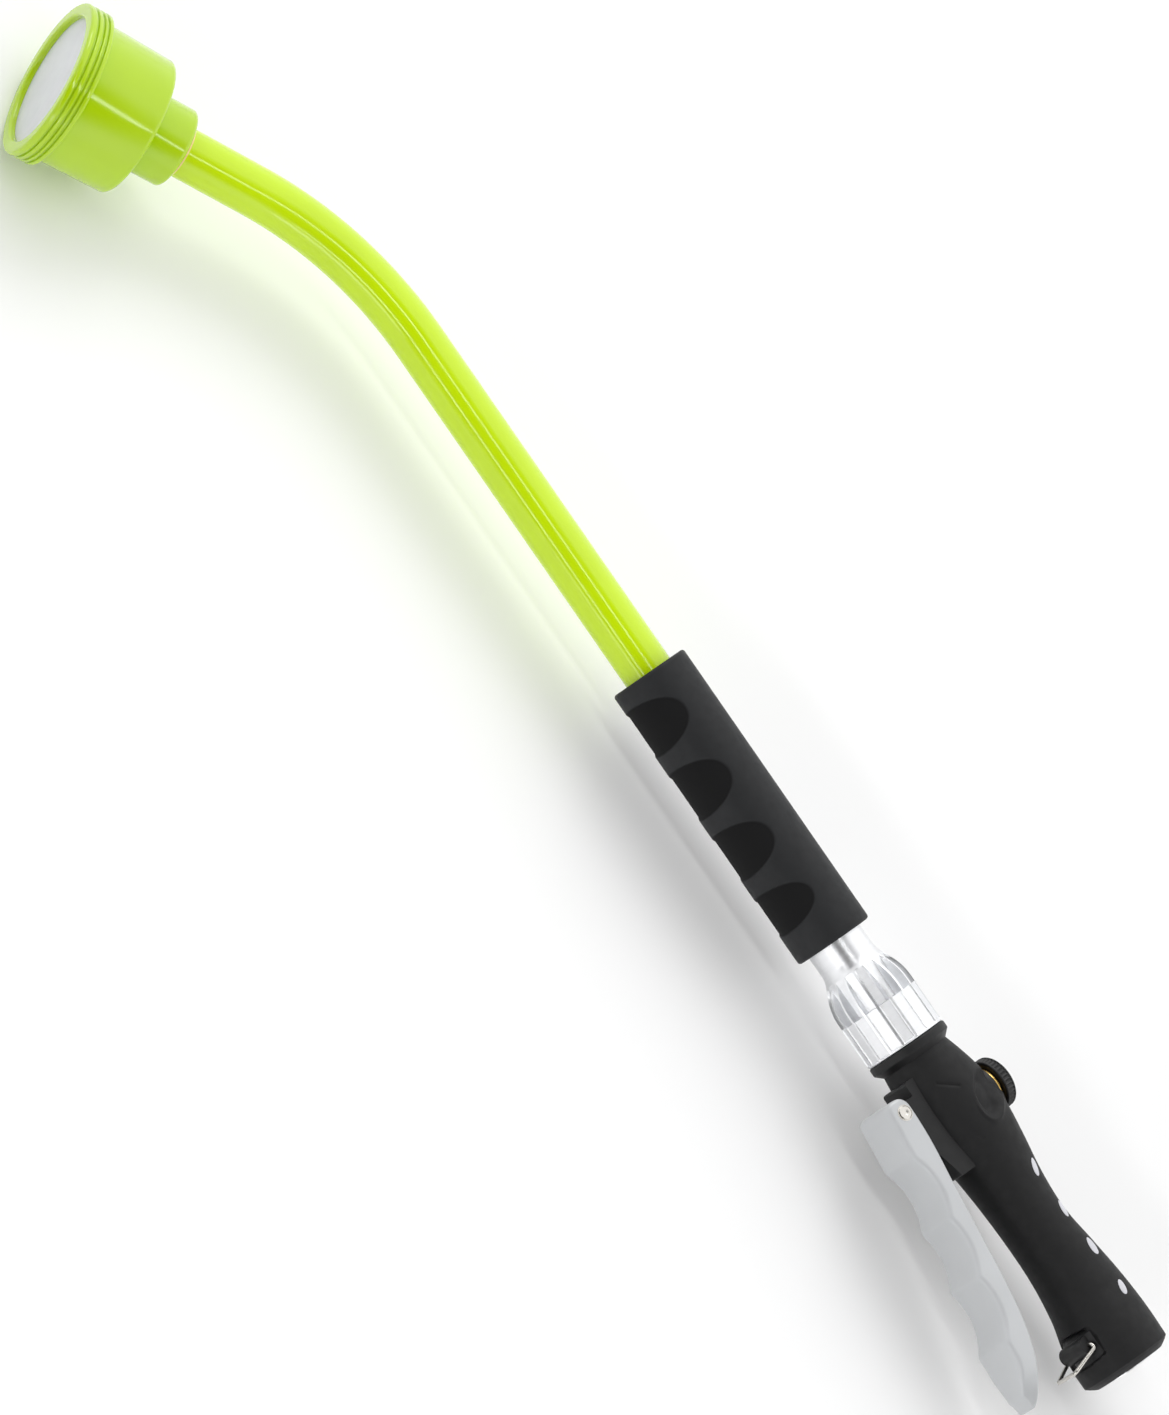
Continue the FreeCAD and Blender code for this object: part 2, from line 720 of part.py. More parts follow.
def boot_outside():
    """The boot's outer shape: a rounded rim, then round sections lofted on from it."""
    rim = turned("boot_rim", [
        ("0", "0"),
        ("0", INLET_FACE_RADIUS),
        ("rim_drop", HEEL_RADIUS, "rim_round"),
        ("boot_rim_x", HEEL_RADIUS),
        ("boot_rim_x", "0"),
    ])
    body = new_body("boot_body")
    rings = [circles(body, f"{section}_section", "YZ",
                     [(f"-boot_{section}_rise" if size[2] else "0", "0",
                       section_radius(section))],
                     section_x(section))
             for section, size in BOOT_SECTIONS.items()]
    loft = body.newObject("PartDesign::AdditiveLoft", "boot_loft")
    loft.Profile = rings[0]
    loft.Sections = rings[1:]
    loft.Ruled = False
    return join("boot_outside", [rim, body])


def inlay_plugs(depth, lead):
    """One oval prism for each inlay, from depth under the boot to lead above it."""
    plugs = []
    for inlay, (section, _, _) in INLAYS.items():
        for side in (1, -1):
            tag = f"{inlay}_{'near' if side > 0 else 'far'}_{lead}"
            oval = doc.addObject("Part::Ellipse", f"oval_{tag}")
            tie(oval, "MajorRadius", "inlay_half_length")
            tie(oval, "MinorRadius", "inlay_half_width")
            turn = f"inlay_{inlay}_turn"
            reach = f"(boot_{section}_radius - {depth})"
            lean = FreeCAD.Rotation(FreeCAD.Vector(1, 0, 0), 90 - side * number(turn))
            tilt = FreeCAD.Rotation(FreeCAD.Vector(0, 0, 1), side * number("inlay_tilt"))
            along = number(f"boot_{section}_x + inlay_{inlay}_shift")
            across = side * number(f"{reach} * sin({turn})")
            back = -number(f"boot_{section}_rise + {reach} * cos({turn})")
            oval.Placement = FreeCAD.Placement(FreeCAD.Vector(along, back, across), lean * tilt)
            tie(oval, "Placement.Base.x", f"boot_{section}_x + inlay_{inlay}_shift")
            tie(oval, "Placement.Base.y", f"-(boot_{section}_rise + {reach} * cos({turn}))")
            tie(oval, "Placement.Base.z", f"{side} * {reach} * sin({turn})")
            plug = doc.addObject("Part::Extrusion", f"plug_{tag}")
            plug.Base = oval
            plug.DirMode = "Normal"
            plug.Solid = True
            tie(plug, "LengthFwd", f"{depth} + {lead}")
            plugs.append(plug)
    return plugs


def handle():
    core = handle_core()
    keep("handle_casting", cut("casting_bored", core, water_way()))
    recess = doc.addObject("Part::Box", "bail_recess")
    tie(recess, "Length", "2 * (bail_boss_radius + bail_recess_end)")
    tie(recess, "Width", "bail_recess_depth + bail_sink + boot_overcut")
    tie(recess, "Height", "bail_boss_width + 2 * bail_recess_side")
    place(recess, "bail_x - bail_boss_radius - bail_recess_end",
          f"{BAIL_DROP} - bail_recess_depth",
          "-(bail_boss_width / 2 + bail_recess_side)")
    inlays = doc.addObject("Part::Compound", "inlay_group")
    inlays.Links = inlay_plugs("inlay_depth", "inlay_pride")
    openings = join("boot_openings", [
        core,
        rod("rim_opening", "X", "-overcut", "0", "0", INLET_FACE_RADIUS,
            "rim_lip + 2 * overcut"),
        riser("bonnet_opening", "bonnet_boss_height - bonnet_recess",
              "bonnet_boss_height + boot_overcut",
              f"{BONNET_FLANGE_RADIUS} + face_gap"),
        recess,
        *inlay_plugs("inlay_depth", "boot_overcut"),
    ])
    keep("handle_boot", cut("boot_hollow", boot_outside(), openings))
    keep("grip_inlays", inlays)


# ----------------------------------------------------------------- hose inlet

def hose_inlet():
    keep("inlet_insert", turned("inlet_insert", [
        ("0", "inlet_bore_radius"),
        ("insert_length", "inlet_bore_radius"),
        ("insert_length", INSERT_RADIUS),
        ("rim_lip", INSERT_RADIUS),
        ("rim_lip", INLET_FACE_RADIUS),
        ("0", INLET_FACE_RADIUS),
    ]))
    keep("hose_washer", ring("hose_washer", "insert_length", SOCKET_DEPTH, "hose_washer_bore",
                             INSERT_RADIUS))
    screen = turned("inlet_screen", [
        (SOCKET_DEPTH, "0"),
        (f"{SOCKET_DEPTH} + screen_thickness", "0"),
        (f"{SOCKET_DEPTH} + screen_thickness", "screen_radius"),
        (SOCKET_DEPTH, "screen_radius"),
    ])
    perforate(screen, "screen", SOCKET_DEPTH, "screen_thickness", "screen_hole_radius",
              "screen_hole_pitch", SCREEN_RINGS)
    keep("inlet_screen", screen)


def perforate(body, name, face, thickness, radius, pitch, rings):
    """Rings of small holes through a turned plate: six more in each ring."""
    middle = circles(body, f"{name}_middle_hole", "YZ", [("0", "0", radius)],
                     f"{face} - overcut")
    through = f"{thickness} + 2 * overcut"
    pad(body, middle, through, cut=True, flip=True)
    for turn in range(1, rings + 1):
        hole = circles(body, f"{name}_hole_{turn}", "YZ", [("0", f"{turn} * {pitch}", radius)],
                       f"{face} - overcut")
        drilled = pad(body, hole, through, cut=True, flip=True)
        around(body, drilled, f"{6 * turn}")


# ------------------------------------------------------------------ push valve

def upright(name, corners, bows=None):
    """A sub-part turned about the valve's axis; corners are (radius, height)."""
    body = turned(name, corners, "V_Axis", bows)
    place(body, x="valve_x", axis=(1, 0, 0), angle="90")
    return keep(name, body)


def push_valve():
    seal_high = "-(gland_top_drop + gland_seal_cover)"
    seal_low = "-(gland_top_drop + gland_seal_cover + gland_seal_width)"
    stem_bore = "valve_stem_radius + running_gap"
    upright("valve_seat", [
        ("seat_bore_radius", SEAT_BOTTOM),
        ("seat_radius", SEAT_BOTTOM),
        ("seat_radius", "seat_top"),
        ("seat_bore_radius", "seat_top"),
    ])
    upright("gland_nut", [
        (stem_bore, "-(chin_drop + gland_flange_width)"),
        ("gland_flange_radius", "-(chin_drop + gland_flange_width)"),
        ("gland_flange_radius", "-chin_drop"),
        ("gland_radius", "-chin_drop"),
        ("gland_radius", "-gland_top_drop"),
        (stem_bore, "-gland_top_drop"),
        (stem_bore, seal_high),
        ("gland_seal_radius", seal_high),
        ("gland_seal_radius", seal_low),
        (stem_bore, seal_low),
    ])
    upright("gland_seal", [
        (stem_bore, seal_low),
        ("gland_seal_radius", seal_low),
        ("gland_seal_radius", seal_high),
        (stem_bore, seal_high),
    ])
    tip = f"{PUSH_FACE_DROP} - face_gap"
    upright("valve_stem", [
        ("0", f"-({tip})"),
        ("valve_stem_radius", f"-({tip} - stem_dome_height)"),
        ("valve_stem_radius", PLUG_TOP),
        ("0", PLUG_TOP),
    ], bows={0: (-1, "stem_dome_radius")})
    upright("plug_washer", [
        ("valve_stem_radius", "seat_top + running_gap"),
        ("plug_washer_radius", "seat_top + running_gap"),
        ("plug_washer_radius", PLUG_BOTTOM),
        ("valve_stem_radius", PLUG_BOTTOM),
    ])
    upright("valve_plug", [
        ("valve_stem_radius", PLUG_BOTTOM),
        ("plug_radius", PLUG_BOTTOM),
        ("plug_radius", PLUG_TOP),
        ("valve_stem_radius", PLUG_TOP),
    ])


def return_spring():
    """A wire coil from the top of the plug to the underside of the bonnet."""
    wire = number("spring_wire_radius")
    coil = number("spring_radius")
    bottom = number(PLUG_TOP) + wire + number("running_gap")
    top = number(BONNET_BOTTOM) - wire - number("running_gap")
    path = Part.makeHelix((top - bottom) / number("spring_turns"), top - bottom, coil)
    section = Part.Wire(Part.makeCircle(wire, FreeCAD.Vector(coil, 0, 0),
                                        FreeCAD.Vector(0, 1, 0)))
    spring = doc.addObject("Part::Feature", "return_spring")
    spring.Shape = Part.Wire(path).makePipeShell([section], True, True)
    upwards = FreeCAD.Rotation(FreeCAD.Vector(1, 0, 0), 90)
    spring.Placement = FreeCAD.Placement(FreeCAD.Vector(number("valve_x"), -bottom, 0), upwards)
    keep("return_spring", spring)


def flow_control():
    stem_bore = "flow_stem_radius + running_gap"
    upright("bonnet_seal", [
        ("valve_bore_radius", "bonnet_boss_height"),
        (BONNET_FLANGE_RADIUS, "bonnet_boss_height"),
        (BONNET_FLANGE_RADIUS, BONNET_SEAT),
        ("valve_bore_radius", BONNET_SEAT),
    ])
    upright("bonnet", [
        (stem_bore, BONNET_BOTTOM),
        ("valve_bore_radius", BONNET_BOTTOM),
        ("valve_bore_radius", BONNET_SEAT),
        (BONNET_FLANGE_RADIUS, BONNET_SEAT),
        (BONNET_FLANGE_RADIUS, BONNET_TOP, "bonnet_round"),
        (stem_bore, BONNET_TOP),
    ])
    upright("throttle_disc", [
        ("0", "throttle_bottom"),
        ("throttle_radius", "throttle_bottom"),
        ("throttle_radius", "throttle_bottom + throttle_thickness"),
        ("0", "throttle_bottom + throttle_thickness"),
    ])
    screw_end = f"{KNOB_TOP} - screw_length"
    upright("flow_stem", [
        ("0", FLOW_STEM_BOTTOM),
        ("flow_stem_radius", FLOW_STEM_BOTTOM),
        ("flow_stem_radius", FLOW_STEM_TOP),
        ("screw_shank_radius", FLOW_STEM_TOP),
        ("screw_shank_radius", screw_end),
        ("0", screw_end),
    ])
    screw = upright("knob_screw", [
        ("0", screw_end),
        ("screw_shank_radius", screw_end),
        ("screw_shank_radius", FLOW_STEM_TOP),
        ("screw_head_radius", FLOW_STEM_TOP),
        ("screw_head_radius", KNOB_TOP, "screw_round"),
        ("0", KNOB_TOP),
    ])
    slot = outline(screw, "screw_slot", "XZ", [
        ("-screw_slot_width / 2", f"{KNOB_TOP} - screw_slot_depth"),
        ("screw_slot_width / 2", f"{KNOB_TOP} - screw_slot_depth"),
        ("screw_slot_width / 2", f"{KNOB_TOP} + overcut"),
        ("-screw_slot_width / 2", f"{KNOB_TOP} + overcut"),
    ])
    pad(screw, slot, "3 * screw_head_radius", both_ways=True, cut=True)
    knob = new_body("flow_knob")
    revolve(knob, outline(knob, "knob_profile", "XZ", [
        (KNOB_BOTTOM, "flow_stem_radius"),
        (KNOB_BOTTOM, "knob_radius - knob_rib_pride", "knob_back_round"),
        (KNOB_TOP, "knob_radius - knob_rib_pride", "knob_front_round"),
        (KNOB_TOP, "screw_head_radius"),
        (FLOW_STEM_TOP, "screw_head_radius"),
        (FLOW_STEM_TOP, "flow_stem_radius"),
    ]))
    rib = circles(knob, "knob_rib", "YZ", [("0", "knob_radius - knob_rib_radius",
                                           "knob_rib_radius")],
                  f"{KNOB_BOTTOM} + knob_rib_back")
    rib_length = "knob_thickness - knob_rib_back - knob_rib_front"
    around(knob, pad(knob, rib, rib_length), "knob_rib_count")
    place(knob, x="valve_x", axis=(0, 0, 1), angle="-90")
    keep("flow_knob", knob)


# ----------------------------------------------------------------------- lever

def lever_front(nose_x, nose_drop, wall):
    """The scalloped front of the lever, or of its channel a wall further in."""
    crests = [(f"{crest}_crest_x", f"{crest}_crest_drop - {wall}")
              for crest in ("first", "second", "third", "fourth")]
    bows = {start: (1, f"scallop_radius + {wall}") for start in (1, 2, 3)}
    return [(nose_x, f"{nose_drop} - {wall}")] + crests, bows


def side_body(name, corners, bows):
    body = new_body(name)
    profile = outline(body, f"{name}_profile", "XY", corners, bows=bows)
    pad(body, profile, "lever_width", both_ways=True)
    return body


def plan_body(name, corners):
    body = new_body(name)
    profile = outline(body, f"{name}_profile", "XZ", corners)
    pad(body, profile, "3 * lever_step_drop", both_ways=True)
    return body


def lever_blank():
    """The lever without its channel: the side view met by the front view."""
    front, bows = lever_front("lever_front_x", "lever_front_drop", "0")
    bows[4] = (1, "last_scallop_radius")
    bows[8] = (-1, "cheek_tail_radius")
    side = side_body("lever_side", front + [
        ("lever_step_x", "lever_step_drop"),
        ("lever_step_x - lever_step_slope", "lever_step_drop - lever_step_depth"),
        ("lever_tip_x", "lever_tip_drop + lever_tip_thickness"),
        ("lever_tip_x", "lever_tip_drop"),
        ("cheek_bend_x", "cheek_bend_drop"),
        ("lever_front_x", "lever_top_drop", "lever_nose_round"),
    ], bows)
    half = "lever_width / 2"
    lip = "lip_width / 2"
    start = "lever_front_x + overcut"
    plan = plan_body("lever_plan", [
        (start, f"-{half}"),
        (start, half),
        ("taper_x", half),
        ("lever_step_x", lip),
        ("lever_tip_x", lip),
        ("lever_tip_x", f"-{lip}"),
        ("lever_step_x", f"-{lip}"),
        ("taper_x", f"-{half}"),
    ])
    return overlap("lever_blank", side, plan)


def lever_channel():
    """The channel inside the lever, open at the nose and on the handle's side."""
    nose = "lever_front_x + channel_lead"
    front, bows = lever_front(nose, f"lever_front_drop - {LEVER_SLOPE} * channel_lead",
                              "lever_front_wall")
    top = "lever_top_drop - channel_rise"
    end = "lever_step_x + channel_end"
    side = side_body("channel_side", front + [
        (end, "lever_step_drop - channel_end_depth"),
        (end, top),
        (nose, top),
    ], bows)
    half = "(lever_width / 2 - lever_wall)"
    lip = "(lip_width / 2 - lever_wall + channel_taper_ease)"
    start = f"{nose} + overcut"
    taper_end = "lever_step_x + channel_taper_end"
    plan = plan_body("channel_plan", [
        (start, f"-{half}"),
        (start, half),
        ("taper_x", half),
        (taper_end, lip),
        (taper_end, f"-{lip}"),
        ("taper_x", f"-{half}"),
    ])
    return overlap("lever_channel", side, plan)


def lever():
    hole = rod("lever_pin_hole", "Z", "pivot_x", "pivot_drop", "-lever_width", "pin_radius",
               "2 * lever_width")
    keep("lever", cut("lever_body", lever_blank(), join("lever_hollows", [lever_channel(), hole])))

    half = "(lever_width / 2)"
    head = f"({half} + pin_head_height)"
    pin = new_body("lever_pin")
    revolve(pin, outline(pin, "pin_profile", "XZ", [
        ("0", f"-{head}"),
        ("pin_head_radius", f"-{head}", "pin_head_round"),
        ("pin_head_radius", f"-{half}"),
        ("pin_radius", f"-{half}"),
        ("pin_radius", half),
        ("pin_head_radius", half),
        ("pin_head_radius", head, "pin_head_round"),
        ("0", head),
    ]), "V_Axis")
    place(pin, x="pivot_x", y="pivot_drop")
    keep("lever_pin", pin)


def lock_bail():
    """A bent wire: two feet in the boss, two legs and a crossbar."""
    body = new_body("lock_bail")
    path = new_sketch(body, "bail_path", "YZ")
    corners = [
        ("0", "-bail_foot_inset"),
        ("0", "-bail_shoulder"),
        ("bail_length", "-bail_crossbar"),
        ("bail_length", "bail_crossbar"),
        ("0", "bail_shoulder"),
        ("0", "bail_foot_inset"),
    ]
    trace(path, corners, "bail_bend")
    foot = circles(body, "bail_section", "XY", [("0", "0", "bail_wire_radius")],
                   "-bail_foot_inset")
    pipe = body.newObject("PartDesign::AdditivePipe", "bail_wire")
    pipe.Profile = foot
    pipe.Spine = path
    place(body, x="bail_x", y=BAIL_DROP, axis=(0, 0, 1), angle="bail_rest_angle")
    keep("lock_bail", body)


def trace(sketch, corners, radius):
    """An open path of straight runs with a tangent arc at each bend."""
    points = [FreeCAD.Vector(number(across), number(up), 0) for across, up in corners]
    bend = number(radius)
    arrive = list(points)
    leave = list(points)
    crown = {}
    for i in range(1, len(points) - 1):
        back = (points[i - 1] - points[i]).normalize()
        ahead = (points[i + 1] - points[i]).normalize()
        half = back.getAngle(ahead) / 2
        arrive[i] = points[i] + back * (bend / math.tan(half))
        leave[i] = points[i] + ahead * (bend / math.tan(half))
        crown[i] = points[i] + (back + ahead).normalize() * (bend / math.sin(half) - bend)
    runs = [sketch.addGeometry(Part.LineSegment(leave[i], arrive[i + 1]))
            for i in range(len(points) - 1)]
    pin_point(sketch, runs[0], 1, *corners[0])
    pin_point(sketch, runs[-1], 2, *corners[-1])
    for i, middle in crown.items():
        arc = sketch.addGeometry(sketch_arc(arrive[i], middle, leave[i]))
        first, second = arc_ends(sketch, arc, arrive[i])
        sketch.addConstraint(Sketcher.Constraint("Tangent", runs[i - 1], 2, arc, first))
        sketch.addConstraint(Sketcher.Constraint("Tangent", arc, second, runs[i], 1))
        hold_radius(sketch, arc, radius)
        tip = sketch.addGeometry(Part.Point(points[i]), True)
        sketch.addConstraint(Sketcher.Constraint("PointOnObject", tip, 1, runs[i - 1]))
        sketch.addConstraint(Sketcher.Constraint("PointOnObject", tip, 1, runs[i]))
        pin_point(sketch, tip, 1, *corners[i])


# ------------------------------------------------------- coupling, tube, grip

def coupling():
    keep("outlet_washer", ring("outlet_washer", SPIGOT_END, WASHER_END, "main_bore_radius",
                               "ferrule_flange_radius"))
    keep("tube_ferrule", turned("tube_ferrule", [
        (WASHER_END, "tube_radius"),
        (f"{FERRULE_FACE} + ferrule_length", "tube_radius"),
        (f"{FERRULE_FACE} + ferrule_length", SLEEVE_RADIUS),
        (FERRULE_FACE, SLEEVE_RADIUS),
        (FERRULE_FACE, "ferrule_flange_radius"),
        (WASHER_END, "ferrule_flange_radius"),
    ]))
    flare_start = f"{NUT_START} + nut_grip_length"
    neck = f"{NUT_THROAT} + nut_neck_wall"
    nut = turned("coupling_nut", [
        (NUT_START, "nut_thread_radius"),
        (NUT_START, "nut_radius", "nut_round"),
        (flare_start, "nut_radius", "nut_flare_round"),
        (f"{flare_start} + nut_flare_length", neck, "nut_throat_round"),
        (NUT_END, neck),
        (NUT_END, NUT_THROAT),
        (FERRULE_FACE, NUT_THROAT),
        (FERRULE_FACE, "nut_thread_radius"),
    ])
    half_angle = "180 / nut_flute_count"
    rib = "nut_rib_width / 2"
    outer = "(nut_radius + 2 * overcut)"
    pocket = f"({NUT_THROAT} + nut_pocket_wall)"
    pocket_start = f"{NUT_START} + nut_shallow_length"
    shallow = "(nut_radius - nut_shallow_depth)"
    for name, inner, start, length in (
            ("shallow_flute", shallow, f"{NUT_START} + nut_round",
             "nut_shallow_length - nut_round"),
            ("deep_flute", pocket, pocket_start, "nut_length")):
        low = f"({inner} * tan({half_angle}) - {rib})"
        high = f"({outer} * tan({half_angle}) - {rib})"
        gap = outline(nut, name, "YZ", [
            (f"-{low}", inner),
            (low, inner),
            (high, outer),
            (f"-{high}", outer),
        ], start)
        around(nut, pad(nut, gap, length, cut=True, flip=True), "nut_flute_count")
    keep("coupling_nut", nut)


def tube():
    body = new_body("wand_tube")
    path = new_sketch(body, "tube_path", "XY")
    bend_end_x = f"{BEND_START} + bend_radius * sin(bend_angle)"
    bend_end_drop = "bend_radius * (1 - cos(bend_angle))"
    tail = "(tube_tail_length + tube_in_collar)"
    ends = [
        (WASHER_END, "0"),
        (BEND_START, "0"),
        (bend_end_x, bend_end_drop),
        (f"{bend_end_x} + {tail} * cos(bend_angle)",
         f"{bend_end_drop} + {tail} * sin(bend_angle)"),
    ]
    spots = [FreeCAD.Vector(number(across), number(up), 0) for across, up in ends]
    path.addGeometry(Part.LineSegment(spots[0], spots[1]))
    half = math.radians(number("bend_angle") / 2)
    bend = number("bend_radius")
    middle = spots[1] + FreeCAD.Vector(bend * math.sin(half), bend * (1 - math.cos(half)), 0)
    arc = path.addGeometry(sketch_arc(spots[1], middle, spots[2]))
    path.addGeometry(Part.LineSegment(spots[2], spots[3]))
    first, second = arc_ends(path, arc, spots[1])
    path.addConstraint(Sketcher.Constraint("Tangent", 0, 2, arc, first))
    path.addConstraint(Sketcher.Constraint("Tangent", arc, second, 2, 1))
    pin_point(path, 0, 1, *ends[0])
    pin_point(path, 0, 2, *ends[1])
    hold_radius(path, arc, "bend_radius")
    pin_point(path, 2, 2, *ends[3])
    section = circles(body, "tube_section", "YZ", [
        ("0", "0", "tube_radius"),
        ("0", "0", "tube_radius - tube_wall"),
    ], WASHER_END)
    pipe = body.newObject("PartDesign::AdditivePipe", "tube_pipe")
    pipe.Profile = section
    pipe.Spine = path
    keep("wand_tube", body)


def foam_grip():
    """A foam sleeve with shallow oval finger recesses on the lever's side."""
    body = turned("foam_grip", [
        (NUT_END, "tube_radius"),
        (NUT_END, FOAM_RADIUS, "foam_round"),
        (FOAM_END, FOAM_RADIUS, "foam_round"),
        (FOAM_END, "tube_radius"),
    ])
    for turn in range(FOAM_RECESSES):
        sketch = new_sketch(body, f"recess_{turn + 1}", "XZ")
        centre_x = f"{NUT_END} + recess_first + {turn} * recess_pitch"
        centre = FreeCAD.Vector(number(centre_x), 0, 0)
        tall = number("recess_half_height")
        wide = number("recess_width / 2")
        oval = sketch.addGeometry(Part.Ellipse(centre + FreeCAD.Vector(0, tall, 0),
                                               centre + FreeCAD.Vector(wide, 0, 0), centre))
        sketch.exposeInternalGeometry(oval)
        pin_point(sketch, oval, 3, centre_x, "0")
        pin_point(sketch, oval + 1, 1, centre_x, "recess_half_height")
        edge = f"{centre_x} - recess_width / 2"
        held = sketch.addConstraint(Sketcher.Constraint("DistanceX", oval + 2, 1, number(edge)))
        tie(sketch, f"Constraints[{held}]", edge)
        pad(body, sketch, f"2 * {FOAM_RADIUS}", cut=True)
    floor = outline(body, "recess_floor", "XZ", [
        (f"{NUT_END} + foam_round", "tube_radius"),
        (f"{FOAM_END} - foam_round", "tube_radius"),
        (f"{FOAM_END} - foam_round", f"{FOAM_RADIUS} - recess_depth"),
        (f"{NUT_END} + foam_round", f"{FOAM_RADIUS} - recess_depth"),
    ])
    revolve(body, floor)
    keep("foam_grip", body)


# ---------------------------------------------------------------- watering head

def on_head(name, corners):
    """A sub-part turned about the head's axis, placed at the end of the tube."""
    body = turned(name, corners)
    place(body, x=HEAD_X, y=HEAD_DROP, axis=(0, 0, 1), angle="bend_angle")
    return keep(name, body)


def watering_head():
    on_head("end_seal", [
        ("-seal_ring_width", "tube_radius"),
        ("0", "tube_radius"),
        ("0", "tube_radius + seal_ring_thickness"),
        ("-seal_ring_width", "tube_radius + seal_ring_thickness", "seal_ring_round"),
    ])
    collar_bore = "tube_radius - collar_stop"
    on_head("head_collar", [
        ("0", "tube_radius"),
        ("0", "collar_radius", "collar_round"),
        ("collar_length", "collar_radius"),
        ("collar_length", COLLAR_THREAD_RADIUS),
        ("collar_length + collar_thread_length", COLLAR_THREAD_RADIUS),
        ("collar_length + collar_thread_length", collar_bore),
        ("tube_in_collar", collar_bore),
        ("tube_in_collar", "tube_radius"),
    ])
    shell_back_radius = "shell_front_radius - shell_taper"
    boss_end = "collar_length + collar_thread_length"
    boss_radius = f"{COLLAR_THREAD_RADIUS} + shell_boss_wall"
    on_head("head_shell", [
        ("collar_length", COLLAR_THREAD_RADIUS),
        ("collar_length", shell_back_radius, "shell_round"),
        (RING_START, "shell_front_radius"),
        (GASKET_BACK, "shell_front_radius"),
        (GASKET_BACK, "shell_front_radius - shell_wall"),
        ("collar_length + shell_wall", f"{shell_back_radius} - shell_wall", "shell_inner_round"),
        ("collar_length + shell_wall", boss_radius),
        (boss_end, boss_radius),
        (boss_end, COLLAR_THREAD_RADIUS),
    ])
    on_head("face_gasket", [
        (GASKET_BACK, f"{PLATE_RADIUS} - gasket_width"),
        (PLATE_BACK, f"{PLATE_RADIUS} - gasket_width"),
        (PLATE_BACK, PLATE_RADIUS),
        (GASKET_BACK, PLATE_RADIUS),
    ])
    plate = on_head("face_plate", [
        (PLATE_BACK, "0"),
        (f"{PLATE_BACK} + plate_thickness", "0"),
        (f"{PLATE_BACK} + plate_thickness", PLATE_RADIUS),
        (PLATE_BACK, PLATE_RADIUS),
    ])
    perforate(plate, "plate", PLATE_BACK, "plate_thickness", "plate_hole_radius",
              f"(({RING_OPENING} - plate_margin) / {PLATE_RINGS})", PLATE_RINGS)
    lip_back = f"{RING_END} - ring_lip"
    face_ring = on_head("face_ring", [
        (RING_START, "shell_front_radius"),
        (RING_START, RING_RADIUS, "ring_back_round"),
        (RING_END, RING_RADIUS, "ring_round"),
        (RING_END, RING_OPENING, "ring_opening_round"),
        (lip_back, RING_OPENING),
        (lip_back, "shell_front_radius"),
    ])
    slope = "(ring_groove_width - ring_groove_floor) / 2"
    for turn in range(RING_GROOVES):
        back = f"{RING_START} + ring_groove_first + {turn} * ring_groove_pitch"
        groove = outline(face_ring, f"ring_groove_{turn + 1}", "XZ", [
            (back, f"{RING_RADIUS} + overcut"),
            (f"{back} + {slope}", f"{RING_RADIUS} - ring_groove_depth"),
            (f"{back} + ring_groove_width - {slope}", f"{RING_RADIUS} - ring_groove_depth"),
            (f"{back} + ring_groove_width", f"{RING_RADIUS} + overcut"),
        ])
        revolve(face_ring, groove, cut=True)


# ------------------------------------------------------------- build and write

handle()
hose_inlet()
push_valve()
return_spring()
flow_control()
lever()
lock_bail()
coupling()
tube()
foam_grip()
watering_head()
doc.recompute()

for thing in doc.Objects:
    faults = [word for word in thing.State if word in ("Invalid", "Error")]
    if faults:
        raise ValueError(f"{thing.Name} ({thing.Label}) failed: {thing.getStatusString()}")
for name, thing in parts.items():
    if thing.Shape.isNull() or not thing.Shape.isValid() or not thing.Shape.Solids:
        raise ValueError(f"{name} has no valid solid")

os.makedirs("parts", exist_ok=True)
for name, thing in parts.items():
    thing.Shape.exportStep(f"parts/{name}.step")
    print(f"{name}: {len(thing.Shape.Solids)} solid, {thing.Shape.Volume / 1000:.2f} cm3")
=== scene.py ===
import json
import math

import bmesh
import bpy
import numpy as np
from mathutils import Matrix, Vector


